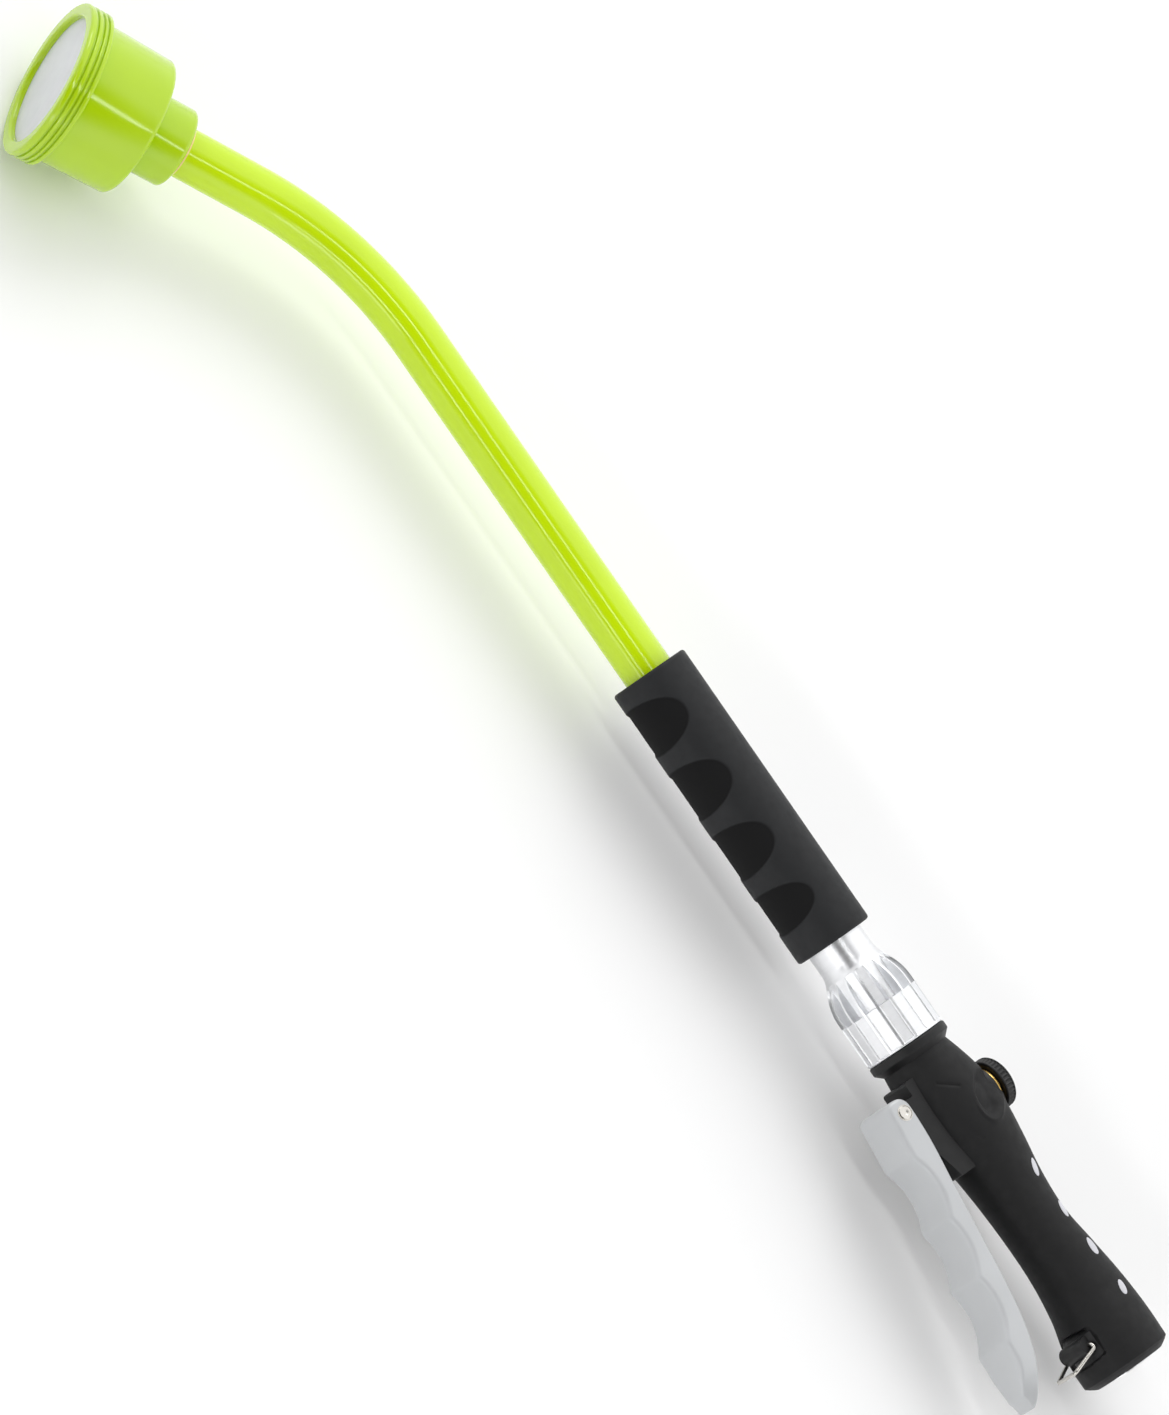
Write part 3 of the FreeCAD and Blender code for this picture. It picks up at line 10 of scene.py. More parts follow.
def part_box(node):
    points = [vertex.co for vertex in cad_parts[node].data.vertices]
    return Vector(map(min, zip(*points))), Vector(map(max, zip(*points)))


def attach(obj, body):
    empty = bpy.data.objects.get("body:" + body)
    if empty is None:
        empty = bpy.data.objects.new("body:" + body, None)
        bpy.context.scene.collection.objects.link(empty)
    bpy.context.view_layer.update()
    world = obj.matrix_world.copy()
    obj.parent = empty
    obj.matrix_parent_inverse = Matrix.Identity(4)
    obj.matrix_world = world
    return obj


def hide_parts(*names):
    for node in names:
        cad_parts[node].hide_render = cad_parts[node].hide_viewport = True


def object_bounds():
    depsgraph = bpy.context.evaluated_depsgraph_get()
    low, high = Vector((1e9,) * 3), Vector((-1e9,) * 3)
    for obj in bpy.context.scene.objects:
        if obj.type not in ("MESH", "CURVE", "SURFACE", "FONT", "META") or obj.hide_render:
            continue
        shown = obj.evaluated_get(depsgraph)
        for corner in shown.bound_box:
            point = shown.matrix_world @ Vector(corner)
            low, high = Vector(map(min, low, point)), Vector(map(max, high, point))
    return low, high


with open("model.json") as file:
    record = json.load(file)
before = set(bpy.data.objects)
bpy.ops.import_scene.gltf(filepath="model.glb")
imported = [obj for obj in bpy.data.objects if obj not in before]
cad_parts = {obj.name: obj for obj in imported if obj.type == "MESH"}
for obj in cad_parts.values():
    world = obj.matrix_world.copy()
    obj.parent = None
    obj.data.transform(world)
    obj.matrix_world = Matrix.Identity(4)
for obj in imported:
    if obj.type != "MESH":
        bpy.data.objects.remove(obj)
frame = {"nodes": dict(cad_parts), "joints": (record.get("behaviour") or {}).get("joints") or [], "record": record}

# The looks of a watering wand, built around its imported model. The wand lies on
# its side: +X runs from the hose inlet to the rose, +Y is the lever's side, -Y
# the back with the flow knob, and +Z is up. Lengths here are millimetres, and
# the mesh code turns them into metres.

MM = 0.001
cad_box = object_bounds()


# ------------------------------------------------------------- frame positions

def span(node):
    """The lowest and highest corner of a CAD node, in millimetres."""
    low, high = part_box(node)
    return np.array(low) / MM, np.array(high) / MM


def middle(node):
    low, high = span(node)
    return (low + high) / 2


def joint(name):
    return next(j for j in frame["joints"] if j["name"] == name)


AHEAD = np.array([1.0, 0.0, 0.0])
LEVER_SIDE = np.array([0.0, 1.0, 0.0])
BACK = np.array([0.0, -1.0, 0.0])
UP = np.array([0.0, 0.0, 1.0])
ORIGIN = np.zeros(3)

VALVE_X = middle("valve_stem")[0]
PIVOT = np.array(joint("lever_squeeze")["pos_m"]) / MM
BAIL_PIVOT = np.array(joint("lock_bail_swing")["pos_m"]) / MM
SEAL_WIDTH = 1.6
HEAD_AXIS = middle("face_plate") - middle("end_seal")
HEAD_AXIS /= np.linalg.norm(HEAD_AXIS)
HEAD_START = middle("end_seal") + HEAD_AXIS * SEAL_WIDTH / 2


# --------------------------------------------------------------- shape helpers

def rounded(corners, steps=6, closed=True):
    """A line through (along, out, round) corners, each turned as an arc."""
    points = [np.array(corner[:2], float) for corner in corners]
    line = []
    for i, corner in enumerate(corners):
        radius = corner[2] if len(corner) > 2 else 0.0
        inner = closed or 0 < i < len(corners) - 1
        if not inner:
            line.append(points[i])
            continue
        back = points[i - 1] - points[i]
        ahead = points[(i + 1) % len(points)] - points[i]
        back_length, ahead_length = np.linalg.norm(back), np.linalg.norm(ahead)
        if radius <= 0 or min(back_length, ahead_length) < 1e-6:
            line.extend([points[i]] * (steps + 1 if len(corner) > 2 else 1))
            continue
        back, ahead = back / back_length, ahead / ahead_length
        half = math.acos(np.clip(back @ ahead, -1, 1)) / 2
        reach = min(radius / math.tan(half), 0.48 * min(back_length, ahead_length))
        radius = reach * math.tan(half)
        inward = (back + ahead) / np.linalg.norm(back + ahead)
        centre = points[i] + inward * radius / math.sin(half)
        start = points[i] + back * reach - centre
        end = points[i] + ahead * reach - centre
        for step in range(steps + 1):
            share = step / steps
            arm = start * (1 - share) + end * share
            line.append(centre + arm * radius / max(np.linalg.norm(arm), 1e-9))
    return np.array(line)


def filled(line, step, closed=True):
    """The same line with points no further apart than a step."""
    ends = np.vstack([line[1:], line[:1]]) if closed else line[1:]
    dense = []
    for first, second in zip(line, ends):
        count = max(1, math.ceil(np.linalg.norm(second - first) / step))
        dense.extend(first + (second - first) * k / count for k in range(count))
    if not closed:
        dense.append(line[-1])
    return np.array(dense)


def smooth_line(spots, along):
    """A smooth curve through (along, value) spots, read at the places along."""
    place, value = np.array(spots, float).T
    slope = np.gradient(value, place)
    i = np.clip(np.searchsorted(place, along) - 1, 0, len(place) - 2)
    gap = place[i + 1] - place[i]
    t = np.clip((along - place[i]) / gap, 0, 1)
    return ((2 * t ** 3 - 3 * t ** 2 + 1) * value[i] + (t ** 3 - 2 * t ** 2 + t) * gap * slope[i]
            + (3 * t ** 2 - 2 * t ** 3) * value[i + 1] + (t ** 3 - t ** 2) * gap * slope[i + 1])


def ease(value, low, high):
    """0 below low, 1 above high and a smooth step between them."""
    t = np.clip((value - low) / (high - low), 0, 1)
    return t * t * (3 - 2 * t)


def surface(name, rows, wrap=False, sharp=38.0):
    """A closed mesh from loops of points; wrap joins the last loop to the first."""
    rows = np.asarray(rows, float)
    count, around = rows.shape[:2]
    index = np.arange(count * around).reshape(count, around)
    loops = np.vstack([index, index[:1]]) if wrap else index
    ahead = np.roll(loops, -1, axis=1)
    faces = np.stack([loops[:-1], ahead[:-1], ahead[1:], loops[1:]], axis=-1)
    faces = faces.reshape(-1, 4).tolist()
    if not wrap:
        faces += [index[0][::-1].tolist(), index[-1].tolist()]
    return solid(name, rows.reshape(-1, 3), faces, sharp)


def solid(name, points, faces, sharp=38.0):
    """An object from points in millimetres, welded, facing outwards and shaded smooth."""
    mesh = bpy.data.meshes.new(name)
    mesh.from_pydata((np.asarray(points) * MM).tolist(), [], faces)
    work = bmesh.new()
    work.from_mesh(mesh)
    bmesh.ops.remove_doubles(work, verts=work.verts, dist=1e-7)
    bmesh.ops.dissolve_degenerate(work, edges=work.edges, dist=1e-8)
    bmesh.ops.recalc_face_normals(work, faces=work.faces)
    work.to_mesh(mesh)
    work.free()
    mesh.shade_smooth()
    mesh.set_sharp_from_angle(angle=math.radians(sharp))
    item = bpy.data.objects.new(name, mesh)
    bpy.context.scene.collection.objects.link(item)
    return item


def joined(name, items):
    """Several meshes as one object."""
    work = bmesh.new()
    for item in items:
        work.from_mesh(item.data)
        bpy.data.objects.remove(item)
    mesh = bpy.data.meshes.new(name)
    work.to_mesh(mesh)
    work.free()
    whole = bpy.data.objects.new(name, mesh)
    bpy.context.scene.collection.objects.link(whole)
    return whole


def spun(profile, around, start, axis, side, radial=None, phase=0.0):
    """Loops of points for a profile of (along, out) turned about an axis."""
    angle = phase + np.arange(around) * 2 * math.pi / around
    along = np.repeat(profile[:, :1], around, axis=1)
    out = np.repeat(profile[:, 1:2], around, axis=1)
    if radial:
        out = radial(along, out, np.broadcast_to(angle, out.shape))
    third = np.cross(axis, side)
    return (start + along[..., None] * axis + (out * np.cos(angle))[..., None] * side
            + (out * np.sin(angle))[..., None] * third)


def lathe(name, corners, start=ORIGIN, axis=AHEAD, side=UP, around=96, sharp=38.0, **ways):
    """A closed profile turned about an axis."""
    return surface(name, spun(rounded(corners), around, start, axis, side, **ways), True, sharp)


def tube_along(name, path, radius, around=16):
    """A round bar along a path of points, its frame carried along without twist."""
    path = np.asarray(path, float)
    way = np.gradient(path, axis=0)
    way /= np.linalg.norm(way, axis=1, keepdims=True)
    side = np.cross(way[0], AHEAD if abs(way[0] @ AHEAD) < 0.9 else UP)
    angle = np.arange(around) * 2 * math.pi / around
    rows = []
    for spot, ahead in zip(path, way):
        side = side - ahead * (side @ ahead)
        side /= np.linalg.norm(side)
        lift = np.cross(side, ahead)
        rows.append(spot + radius * (np.cos(angle)[:, None] * side
                                     + np.sin(angle)[:, None] * lift))
    return surface(name, rows)


def bent(corners, radius, steps=10):
    """A path through corners in space, each turned with a radius."""
    points = np.array(corners, float)
    path = [points[0]]
    for before, point, after in zip(points, points[1:], points[2:]):
        back, ahead = before - point, after - point
        reach = min(radius, 0.45 * np.linalg.norm(back), 0.45 * np.linalg.norm(ahead))
        first = point + back / np.linalg.norm(back) * reach
        last = point + ahead / np.linalg.norm(ahead) * reach
        for t in np.linspace(0, 1, steps):
            path.append(first * (1 - t) ** 2 + 2 * point * t * (1 - t) + last * t ** 2)
    path.append(points[-1])
    return filled(np.array(path), 0.5, closed=False)


# ------------------------------------------------------------------- materials

def material(name, colour, rough, metal=0.0, mottle=0.06, mottle_scale=120.0, grain=0.0,
             grain_scale=900.0, rough_spread=0.06, coat=0.0, edge_highlight=0.0, stretch=(1, 1, 1),
             specular=0.5, shade=None):
    """A surface with mottled colour, uneven gloss, fine grain and a painted highlight along convex edges.

    shade is (attribute, colour, rough): a second finish where that attribute is 1.
    """
    made = bpy.data.materials.new(name)
    made.use_nodes = True
    made.diffuse_color = (*colour, 1)
    nodes, links = made.node_tree.nodes, made.node_tree.links
    shader = nodes["Principled BSDF"]
    shader.inputs["Metallic"].default_value = metal
    shader.inputs["Specular IOR Level"].default_value = specular
    shader.inputs["Coat Weight"].default_value = coat
    shader.inputs["Coat Roughness"].default_value = 0.08

    place = nodes.new("ShaderNodeTexCoord")
    scaled = nodes.new("ShaderNodeMapping")
    scaled.inputs["Scale"].default_value = stretch
    links.new(place.outputs["Object"], scaled.inputs["Vector"])

    def noise(scale, detail):
        texture = nodes.new("ShaderNodeTexNoise")
        texture.inputs["Scale"].default_value = scale
        texture.inputs["Detail"].default_value = detail
        links.new(scaled.outputs["Vector"], texture.inputs["Vector"])
        return texture.outputs["Fac"]

    def blend(factor, first, second, kind="RGBA"):
        mix = nodes.new("ShaderNodeMix")
        mix.data_type = kind
        sockets = {"RGBA": (6, 7, 2), "FLOAT": (2, 3, 0)}[kind]
        links.new(factor, mix.inputs[0])
        for socket, value in zip(sockets, (first, second)):
            if hasattr(value, "is_linked"):
                links.new(value, mix.inputs[socket])
            else:
                mix.inputs[socket].default_value = value
        return mix.outputs[sockets[2]]

    def ranged(value, low, high, to_low, to_high):
        change = nodes.new("ShaderNodeMapRange")
        links.new(value, change.inputs["Value"])
        for label, number in (("From Min", low), ("From Max", high),
                              ("To Min", to_low), ("To Max", to_high)):
            change.inputs[label].default_value = number
        return change.outputs["Result"]

    dark = [part * (1 - mottle) for part in colour] + [1]
    light = [min(1, part * (1 + mottle)) for part in colour] + [1]
    cloud = noise(mottle_scale, 5)
    tone = blend(ranged(cloud, 0.3, 0.7, 0, 1), dark, light)
    gloss = ranged(noise(mottle_scale * 2.3, 4), 0.3, 0.7, rough - rough_spread,
                   rough + rough_spread)
    # Painted highlight: convex edges, found through Pointiness, are lightened to stand in for light caught by
    # rounded edges.
    if edge_highlight:
        edge = nodes.new("ShaderNodeNewGeometry").outputs["Pointiness"]
        highlight_colour = [min(1, part * (1 + edge_highlight)) for part in colour] + [1]
        tone = blend(ranged(edge, 0.515, 0.58, 0, 1), tone, highlight_colour)
    if shade:
        spot = nodes.new("ShaderNodeAttribute")
        spot.attribute_name = shade[0]
        tone = blend(spot.outputs["Fac"], tone, [*shade[1], 1])
        gloss = blend(spot.outputs["Fac"], gloss, shade[2], "FLOAT")
    links.new(tone, shader.inputs["Base Color"])
    links.new(gloss, shader.inputs["Roughness"])
    if grain:
        bump = nodes.new("ShaderNodeBump")
        bump.inputs["Strength"].default_value = 0.6
        bump.inputs["Distance"].default_value = grain * MM
        links.new(noise(grain_scale, 6), bump.inputs["Height"])
        links.new(bump.outputs["Normal"], shader.inputs["Normal"])
    return made


def srgb(red, green, blue):
    """A linear colour from the usual 0 to 255 numbers."""
    return tuple(part / 255 / 12.92 if part <= 10 else ((part / 255 + 0.055) / 1.055) ** 2.4
                 for part in (red, green, blue))


FINISH = {
    "black_casting": material("satin_black_casting", srgb(19, 19, 20), 0.5, grain=0.03,
                              specular=0.35),
    "black_rubber": material("moulded_black_rubber", srgb(19, 19, 20), 0.62, grain=0.035,
                             grain_scale=1500, mottle=0.1, specular=0.3),
    "pale_inlay": material("pale_inlay", srgb(200, 200, 206), 0.5, grain=0.02),
    "bright_aluminium": material("bright_turned_aluminium", srgb(234, 235, 237), 0.34, metal=1.0,
                                 mottle=0.03, rough_spread=0.05, grain=0.002, grain_scale=500,
                                 stretch=(6, 1, 1)),
    "red_rubber": material("red_washer_rubber", srgb(140, 40, 34), 0.6, grain=0.02),
    "steel": material("bright_steel", srgb(205, 202, 196), 0.25, metal=1.0, grain=0.01),
    "brass": material("turned_brass", srgb(224, 186, 104), 0.26, metal=1.0, grain=0.01),
    "seal_rubber": material("seal_rubber", srgb(28, 28, 28), 0.55, grain=0.02),
    "black_plastic": material("black_knob_plastic", srgb(20, 20, 21), 0.48, grain=0.02),
    # The silver lever carries a painted highlight along its convex edges.
    "cast_lever": material("silver_coated_casting", srgb(186, 188, 190), 0.34, metal=0.1,
                           mottle=0.025, mottle_scale=60, grain=0.02, grain_scale=1400,
                           edge_highlight=0.22, coat=0.25),
    "green_paint": material("green_powder_coat", srgb(192, 224, 0), 0.16, mottle=0.025,
                            mottle_scale=40, grain=0.03, grain_scale=260, coat=0.35,
                            rough_spread=0.04),
    "foam": material("closed_cell_foam", srgb(26, 27, 29), 0.58, mottle=0.1, grain=0.05,
                     grain_scale=1700, specular=0.3,
                     shade=("recess", srgb(13, 13, 14), 0.95)),
    "amber_seal": material("amber_seal", srgb(240, 212, 142), 0.3, mottle=0.05),
    "green_plastic": material("moulded_green_plastic", srgb(170, 204, 0), 0.13, mottle=0.02,
                              mottle_scale=50, grain=0.015, grain_scale=400, coat=0.4,
                              rough_spread=0.04),
    "grey_plate": material("grey_face_plate", srgb(205, 207, 210), 0.42, mottle=0.03,
                           grain=0.03, grain_scale=1200),
}


def settle(item, body, finish, *nodes):
    """Gives a piece its finish, its body and the CAD nodes that it stands for."""
    item.data.materials.clear()
    item.data.materials.append(FINISH[finish])
    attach(item, body)
    if nodes:
        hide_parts(*nodes)
    return item


def dress_frame():
    """Every CAD node takes the finish of its own material slot."""
    for part in frame["record"]["subparts"]:
        mesh = frame["nodes"][part["node"]].data
        mesh.materials.clear()
        mesh.materials.append(FINISH[part["material_slot"]])


# ---------------------------------------------------------------- rubber boot

# Round sections: distance along X, radius, and rise of the centre to the back.
BOOT_SECTIONS = [
    (4.0, 17.65, 0.0), (13.0, 17.65, 0.2), (29.5, 15.3, 2.1), (45.0, 13.5, 2.2),
    (61.0, 12.45, 1.3), (76.0, 13.1, 1.5), (92.0, 14.9, 2.2), (105.0, 16.3, 2.2),
    (118.0, 16.1, 1.7), (129.0, 14.5, 0.7), (135.0, 13.3, 0.0),
]
RIM_END = 4.0
RIM_PROFILE = [(2.5, 13.6), (0.15, 13.6, 0.2), (0.8, 14.8, 3.0), (1.75, 16.3, 3.0), (2.8, 17.6, 0.5),
               (4.0, 17.65)]
BOOT_LINING = [(0.0, 13.3), (0.0, 10.95), (-8.0, 10.9)]  # (from the front end, radius)
BOOT_HEEL_LINING = (22.0, 10.6)                          # (from the hose end, radius)
BOOT_AROUND = 288
BOOT_STEP = 0.45
BONNET_WELL = 8.45           # the well's radius around the brass bonnet
BONNET_RIM = 11.2            # the raised band around the well ends here
WELL_FLOOR = 16.7            # the well's floor, as a rise from the tube's axis
BAIL_RECESS = (5.5, 11.8)    # half length and half width of the lock bail's recess
BAIL_FLOOR = 11.9            # the recess's floor, as a drop from the tube's axis
BAIL_RECESS_SLOPE = 4.0

# The eye-shaped hollow beside the knob and its raised lip. They are laid out on a
# plane that leans between +Y and +Z: x runs along the wand, and p across it
# towards the lever. VIEW_BACK and VIEW_UP are the lean's two cosines.
VIEW_BACK = 0.568
VIEW_UP = 0.823
SCOOP_SPOT = (110.6, -14.2)
SCOOP_LEAN = math.radians(-14)
SCOOP_HALF = (9.6, 4.4)
SCOOP_DEPTH = 2.9
LIP_HEIGHT = 0.5

# Oval inlays: distance along X, turn from the back, half length, half width.
INLAYS = [(78.7, 62.0, 3.6, 1.75), (60.7, 52.0, 3.6, 1.9), (43.9, 61.0, 3.8, 2.1),
          (25.9, 69.5, 3.1, 1.75)]
INLAY_TILT = 20.0


def groove(x, p, start, end, width, depth):
    """The depth of a soft groove between two (x, p) points."""
    run = np.array(end) - np.array(start)
    length = np.linalg.norm(run)
    run /= length
    along = (x - start[0]) * run[0] + (p - start[1]) * run[1]
    aside = (x - start[0]) * -run[1] + (p - start[1]) * run[0]
    over = np.maximum(np.maximum(-along, along - length), 0)
    distance = np.hypot(aside, over)
    return depth * np.exp(-(distance / width) ** 2)


def boot_radius(x, turn):
    """The boot's radius and centre rise at a place and a turn from the back."""
    radius = smooth_line([spot[:2] for spot in BOOT_SECTIONS], x)
    rise = smooth_line([(spot[0], spot[2]) for spot in BOOT_SECTIONS], x)
    up = np.abs(radius * np.sin(turn))
    back = rise + radius * np.cos(turn)
    p = -back * VIEW_UP - up * VIEW_BACK
    front = up * VIEW_UP - back * VIEW_BACK > -6.0

    dx, dp = x - SCOOP_SPOT[0], p - SCOOP_SPOT[1]
    long_way = (dx * math.cos(SCOOP_LEAN) + dp * math.sin(SCOOP_LEAN)) / SCOOP_HALF[0]
    short_way = (-dx * math.sin(SCOOP_LEAN) + dp * math.cos(SCOOP_LEAN)) / SCOOP_HALF[1]
    inside = 1 - np.hypot(long_way, short_way)
    fade = 1 - ease(x, 112.0, 119.5) * ease(p, -16.0, -11.0)
    scoop = SCOOP_DEPTH * ease(inside, 0.0, 0.5) * fade * front
    lip = (LIP_HEIGHT * np.exp(-((inside + 0.1) / 0.09) ** 2) * fade * front
           * ease(-x, -112.0, -104.0))
    creases = front * (groove(x, p, (118.3, -7.4), (123.2, -1.3), 0.5, 0.6)
                       + groove(x, p, (97.9, -3.8), (102.4, -1.2), 0.6, 0.18))
    seam = 0.15 * np.exp(-((x - 91.3) / 0.5) ** 2) * ease(np.cos(turn), 0.1, -0.4)
    across = np.hypot(x - VALVE_X, up)
    on_back = ease(np.cos(turn), 0.3, 0.5)
    band = 0.45 * ease(-across, -BONNET_RIM, -BONNET_RIM + 1.2) * on_back
    return radius - scoop + lip - creases + seam + band, rise


def boot_point(x, turn, lift=0.0):
    """A point of the boot's surface, in millimetres."""
    radius, rise = boot_radius(x, turn)
    radius = radius + lift
    back = rise + radius * np.cos(turn)
    up = radius * np.sin(turn)
    return np.stack([x, -back, up], axis=-1)


def handle_boot():
    start = span("handle_boot")[0][0]
    end = span("handle_boot")[1][0]
    turn = np.arange(BOOT_AROUND) * 2 * math.pi / BOOT_AROUND
    rim = filled(rounded(RIM_PROFILE, closed=False), 0.5, closed=False)[:-1]

    def ring(x, radius):
        return np.stack([np.full_like(turn, x), -np.cos(turn) * radius,
                         np.sin(turn) * radius], -1)

    rows = [ring(start + along, out) for along, out in rim]
    for x in np.arange(start + RIM_END, end, BOOT_STEP):
        row = boot_point(np.full_like(turn, x), turn)
        across = np.hypot(row[:, 0] - VALVE_X, row[:, 2])
        well = (across < BONNET_WELL) & (row[:, 1] < 0)
        row[well, 1] = np.maximum(row[well, 1], -WELL_FLOOR)
        beyond = max(abs(x - BAIL_PIVOT[0]) - BAIL_RECESS[0], 0) * BAIL_RECESS_SLOPE
        beyond = beyond + (np.clip(np.abs(row[:, 2]) - BAIL_RECESS[1], 0, None)
                           * BAIL_RECESS_SLOPE)
        row[:, 1] = np.minimum(row[:, 1], BAIL_FLOOR + beyond)
        rows.append(row)
    rows += [ring(end + back, out) for back, out in BOOT_LINING]
    rows.append(ring(start + BOOT_HEEL_LINING[0], BOOT_HEEL_LINING[1]))
    boot = surface("boot", rows, wrap=True, sharp=50)
    settle(boot, "wand", "black_rubber", "handle_boot")


def grip_inlays():
    """Domed ovals that follow the boot's curve, four on each side."""
    plugs = []
    rings = [(0.0, 0.34), (0.35, 0.33), (0.65, 0.28), (0.85, 0.2), (0.96, 0.08), (1.0, -0.6)]
    angle = np.arange(40) * 2 * math.pi / 40
    for side in (1, -1):
        for along, turned, half_length, half_width in INLAYS:
            middle_turn = math.radians(turned)
            tilt = math.radians(INLAY_TILT)
            radius = float(boot_radius(np.array(along), np.array(middle_turn))[0])
            rows = []
            for share, lift in rings:
                u = half_length * share * np.cos(angle)
                v = half_width * share * np.sin(angle)
                x = along + u * math.cos(tilt) + v * math.sin(tilt)
                down = -u * math.sin(tilt) + v * math.cos(tilt)
                turn = side * (middle_turn + down / radius)
                rows.append(boot_point(x, turn, lift))
            root = boot_point(np.array(along), np.array(side * middle_turn), -0.6)
            rows.append(np.zeros_like(rows[0]) + root)
            plugs.append(surface("oval", rows))
    settle(joined("inlays", plugs), "wand", "pale_inlay", "grip_inlays")


# ----------------------------------------------------------------- hose inlet

def inlet_thread():
    """The threaded liner of the hose end: one groove wound five and a half times."""
    start = span("inlet_insert")[0][0]
    pitch, depth = 2.2, 1.0
    bore = 12.3

    def thread(along, out, turn):
        wave = np.cos(2 * math.pi * (along / pitch - turn / (2 * math.pi)))
        inside = ease(along, 0.8, 2.0) * ease(-along, -12.4, -11.4)
        return np.where(out < bore + 0.05, out + depth * (0.5 - 0.5 * wave) * inside, out)

    profile = filled(rounded([(0.0, bore, 0.3), (13.2, bore), (13.2, 14.15), (2.5, 14.15),
                              (2.5, 13.55), (0.0, 13.55)]), 0.28)
    rows = spun(profile, 96, np.array([start, 0, 0]), AHEAD, UP, radial=thread)
    settle(surface("inlet_thread", rows, True), "wand", "bright_aluminium", "inlet_insert")


# ----------------------------------------------------------------------- lever

LEVER_FRONT = 127.4
LEVER_TIP = 9.2
CRESTS = [(106.5, 32.8), (81.6, 34.8), (58.8, 39.2), (34.1, 45.2)]
SCALLOPS = 25.0
LAST_SCALLOP = 42.0
STEP = (14.6, 49.2)
TIP_LOW = 48.0
WALL = 2.0
FRONT_WALL = 2.2
EDGE_ROUND = 2.2
NOSE_ROUND = 2.5
NOSE_PINCH_LENGTH = 1.4
NOSE_PINCH = 0.8
TOP_CORNER = 4.6


def dipped(x, first, second, radius):
    """The drop at x of an arc between two crests, hollow towards the handle."""
    a, b = np.array(first), np.array(second)
    chord = b - a
    length = np.linalg.norm(chord)
    normal = np.array([chord[1], -chord[0]]) / length
    normal *= math.copysign(1, normal[1])
    centre = (a + b) / 2 + normal * math.sqrt(radius ** 2 - (length / 2) ** 2)
    return centre[1] - np.sqrt(np.maximum(radius ** 2 - (x - centre[0]) ** 2, 0))


def front_drop(x):
    """The finger side of the lever: straight to the first crest, then four hollows."""
    drop = np.interp(x, [CRESTS[0][0], LEVER_FRONT], [CRESTS[0][1], 30.1])
    for first, second in zip(CRESTS, CRESTS[1:]):
        drop = np.where((x <= first[0]) & (x > second[0]), dipped(x, first, second, SCALLOPS),
                        drop)
    drop = np.where((x <= CRESTS[-1][0]) & (x > STEP[0]),
                    dipped(x, CRESTS[-1], STEP, LAST_SCALLOP), drop)
    tail = np.interp(x, [LEVER_TIP, STEP[0] - 0.8], [TIP_LOW, STEP[1] - 0.9])
    return np.where(x <= STEP[0], tail + 0.9 * ease(x, STEP[0] - 0.8, STEP[0]), drop)


def softened(values, reach):
    """Values averaged over their neighbours, the ends kept."""
    weights = np.hanning(2 * reach + 3)[1:-1]
    padded = np.concatenate([np.full(reach, values[0]), values, np.full(reach, values[-1])])
    return np.convolve(padded, weights / weights.sum(), "valid")


def handle_side_drop(x):
    """The edge of the lever's cheeks that faces the handle."""
    spots = [(9.2, 46.3), (12.0, 44.2), (20.0, 39.6), (29.5, 35.6), (40.0, 32.4), (50.0, 30.4),
             (70.0, 27.4), (90.8, 24.4), (111.0, 21.5), (121.4, 21.0), (127.4, 21.1)]
    drop = smooth_line(spots, x)
    over = np.clip(x - (LEVER_FRONT - TOP_CORNER), 0, TOP_CORNER)
    return drop + TOP_CORNER - np.sqrt(TOP_CORNER ** 2 - over ** 2)


def half_widths(x):
    """Half of the lever's width at its handle side and at its finger side."""
    handle_side = smooth_line([(9.2, 5.0), (10.0, 6.2), (12.0, 7.6), (15.0, 9.0), (20.0, 10.2),
                               (25.0, 10.8), (30.0, 11.0), (40.0, 11.0), (127.4, 11.0)], x)
    finger_side = smooth_line([(9.2, 4.3), (12.0, 4.7), (15.0, 5.1), (18.0, 6.8), (20.0, 8.2),
                               (25.0, 10.7), (30.0, 11.0), (40.0, 11.0), (127.4, 11.0)], x)
    over = np.clip((x - LEVER_FRONT + NOSE_PINCH_LENGTH) / NOSE_PINCH_LENGTH, 0, 1)
    pinch = NOSE_PINCH_LENGTH * (1 - np.sqrt(1 - over ** 2)) * NOSE_PINCH
    return handle_side - pinch, finger_side - pinch


def lever():
    x = np.concatenate([np.arange(LEVER_TIP, LEVER_FRONT - 5, 0.45),
                        np.linspace(LEVER_FRONT - 5, LEVER_FRONT, 26)])
    front = softened(front_drop(x), 3)
    over = np.clip(x - LEVER_FRONT + NOSE_ROUND, 0, NOSE_ROUND)
    front -= NOSE_ROUND - np.sqrt(NOSE_ROUND ** 2 - over ** 2)
    edge = handle_side_drop(x)
    top_half, front_half = half_widths(x)
    depth = ease(x, 19.0, 25.0)
    rows = []
    for along, outer, top, broad, wide, open_share in zip(x, front, edge, top_half,
                                                          front_half, depth):
        top = min(top, outer - 0.8)
        floor = top + max(0.0, outer - FRONT_WALL - top) * open_share
        rim, inner = broad - WALL, wide - WALL
        section = rounded([
            (top, rim, 0.5), (top, broad, 0.7), (outer, wide, EDGE_ROUND),
            (outer, -wide, EDGE_ROUND), (top, -broad, 0.7), (top, -rim, 0.5),
            (floor, -inner, 1.0), (floor, inner, 1.0),
        ], steps=5)
        rows.append(np.column_stack([np.full(len(section), along), section]))
    settle(surface("lever_body", rows, sharp=30), "lever", "cast_lever", "lever")


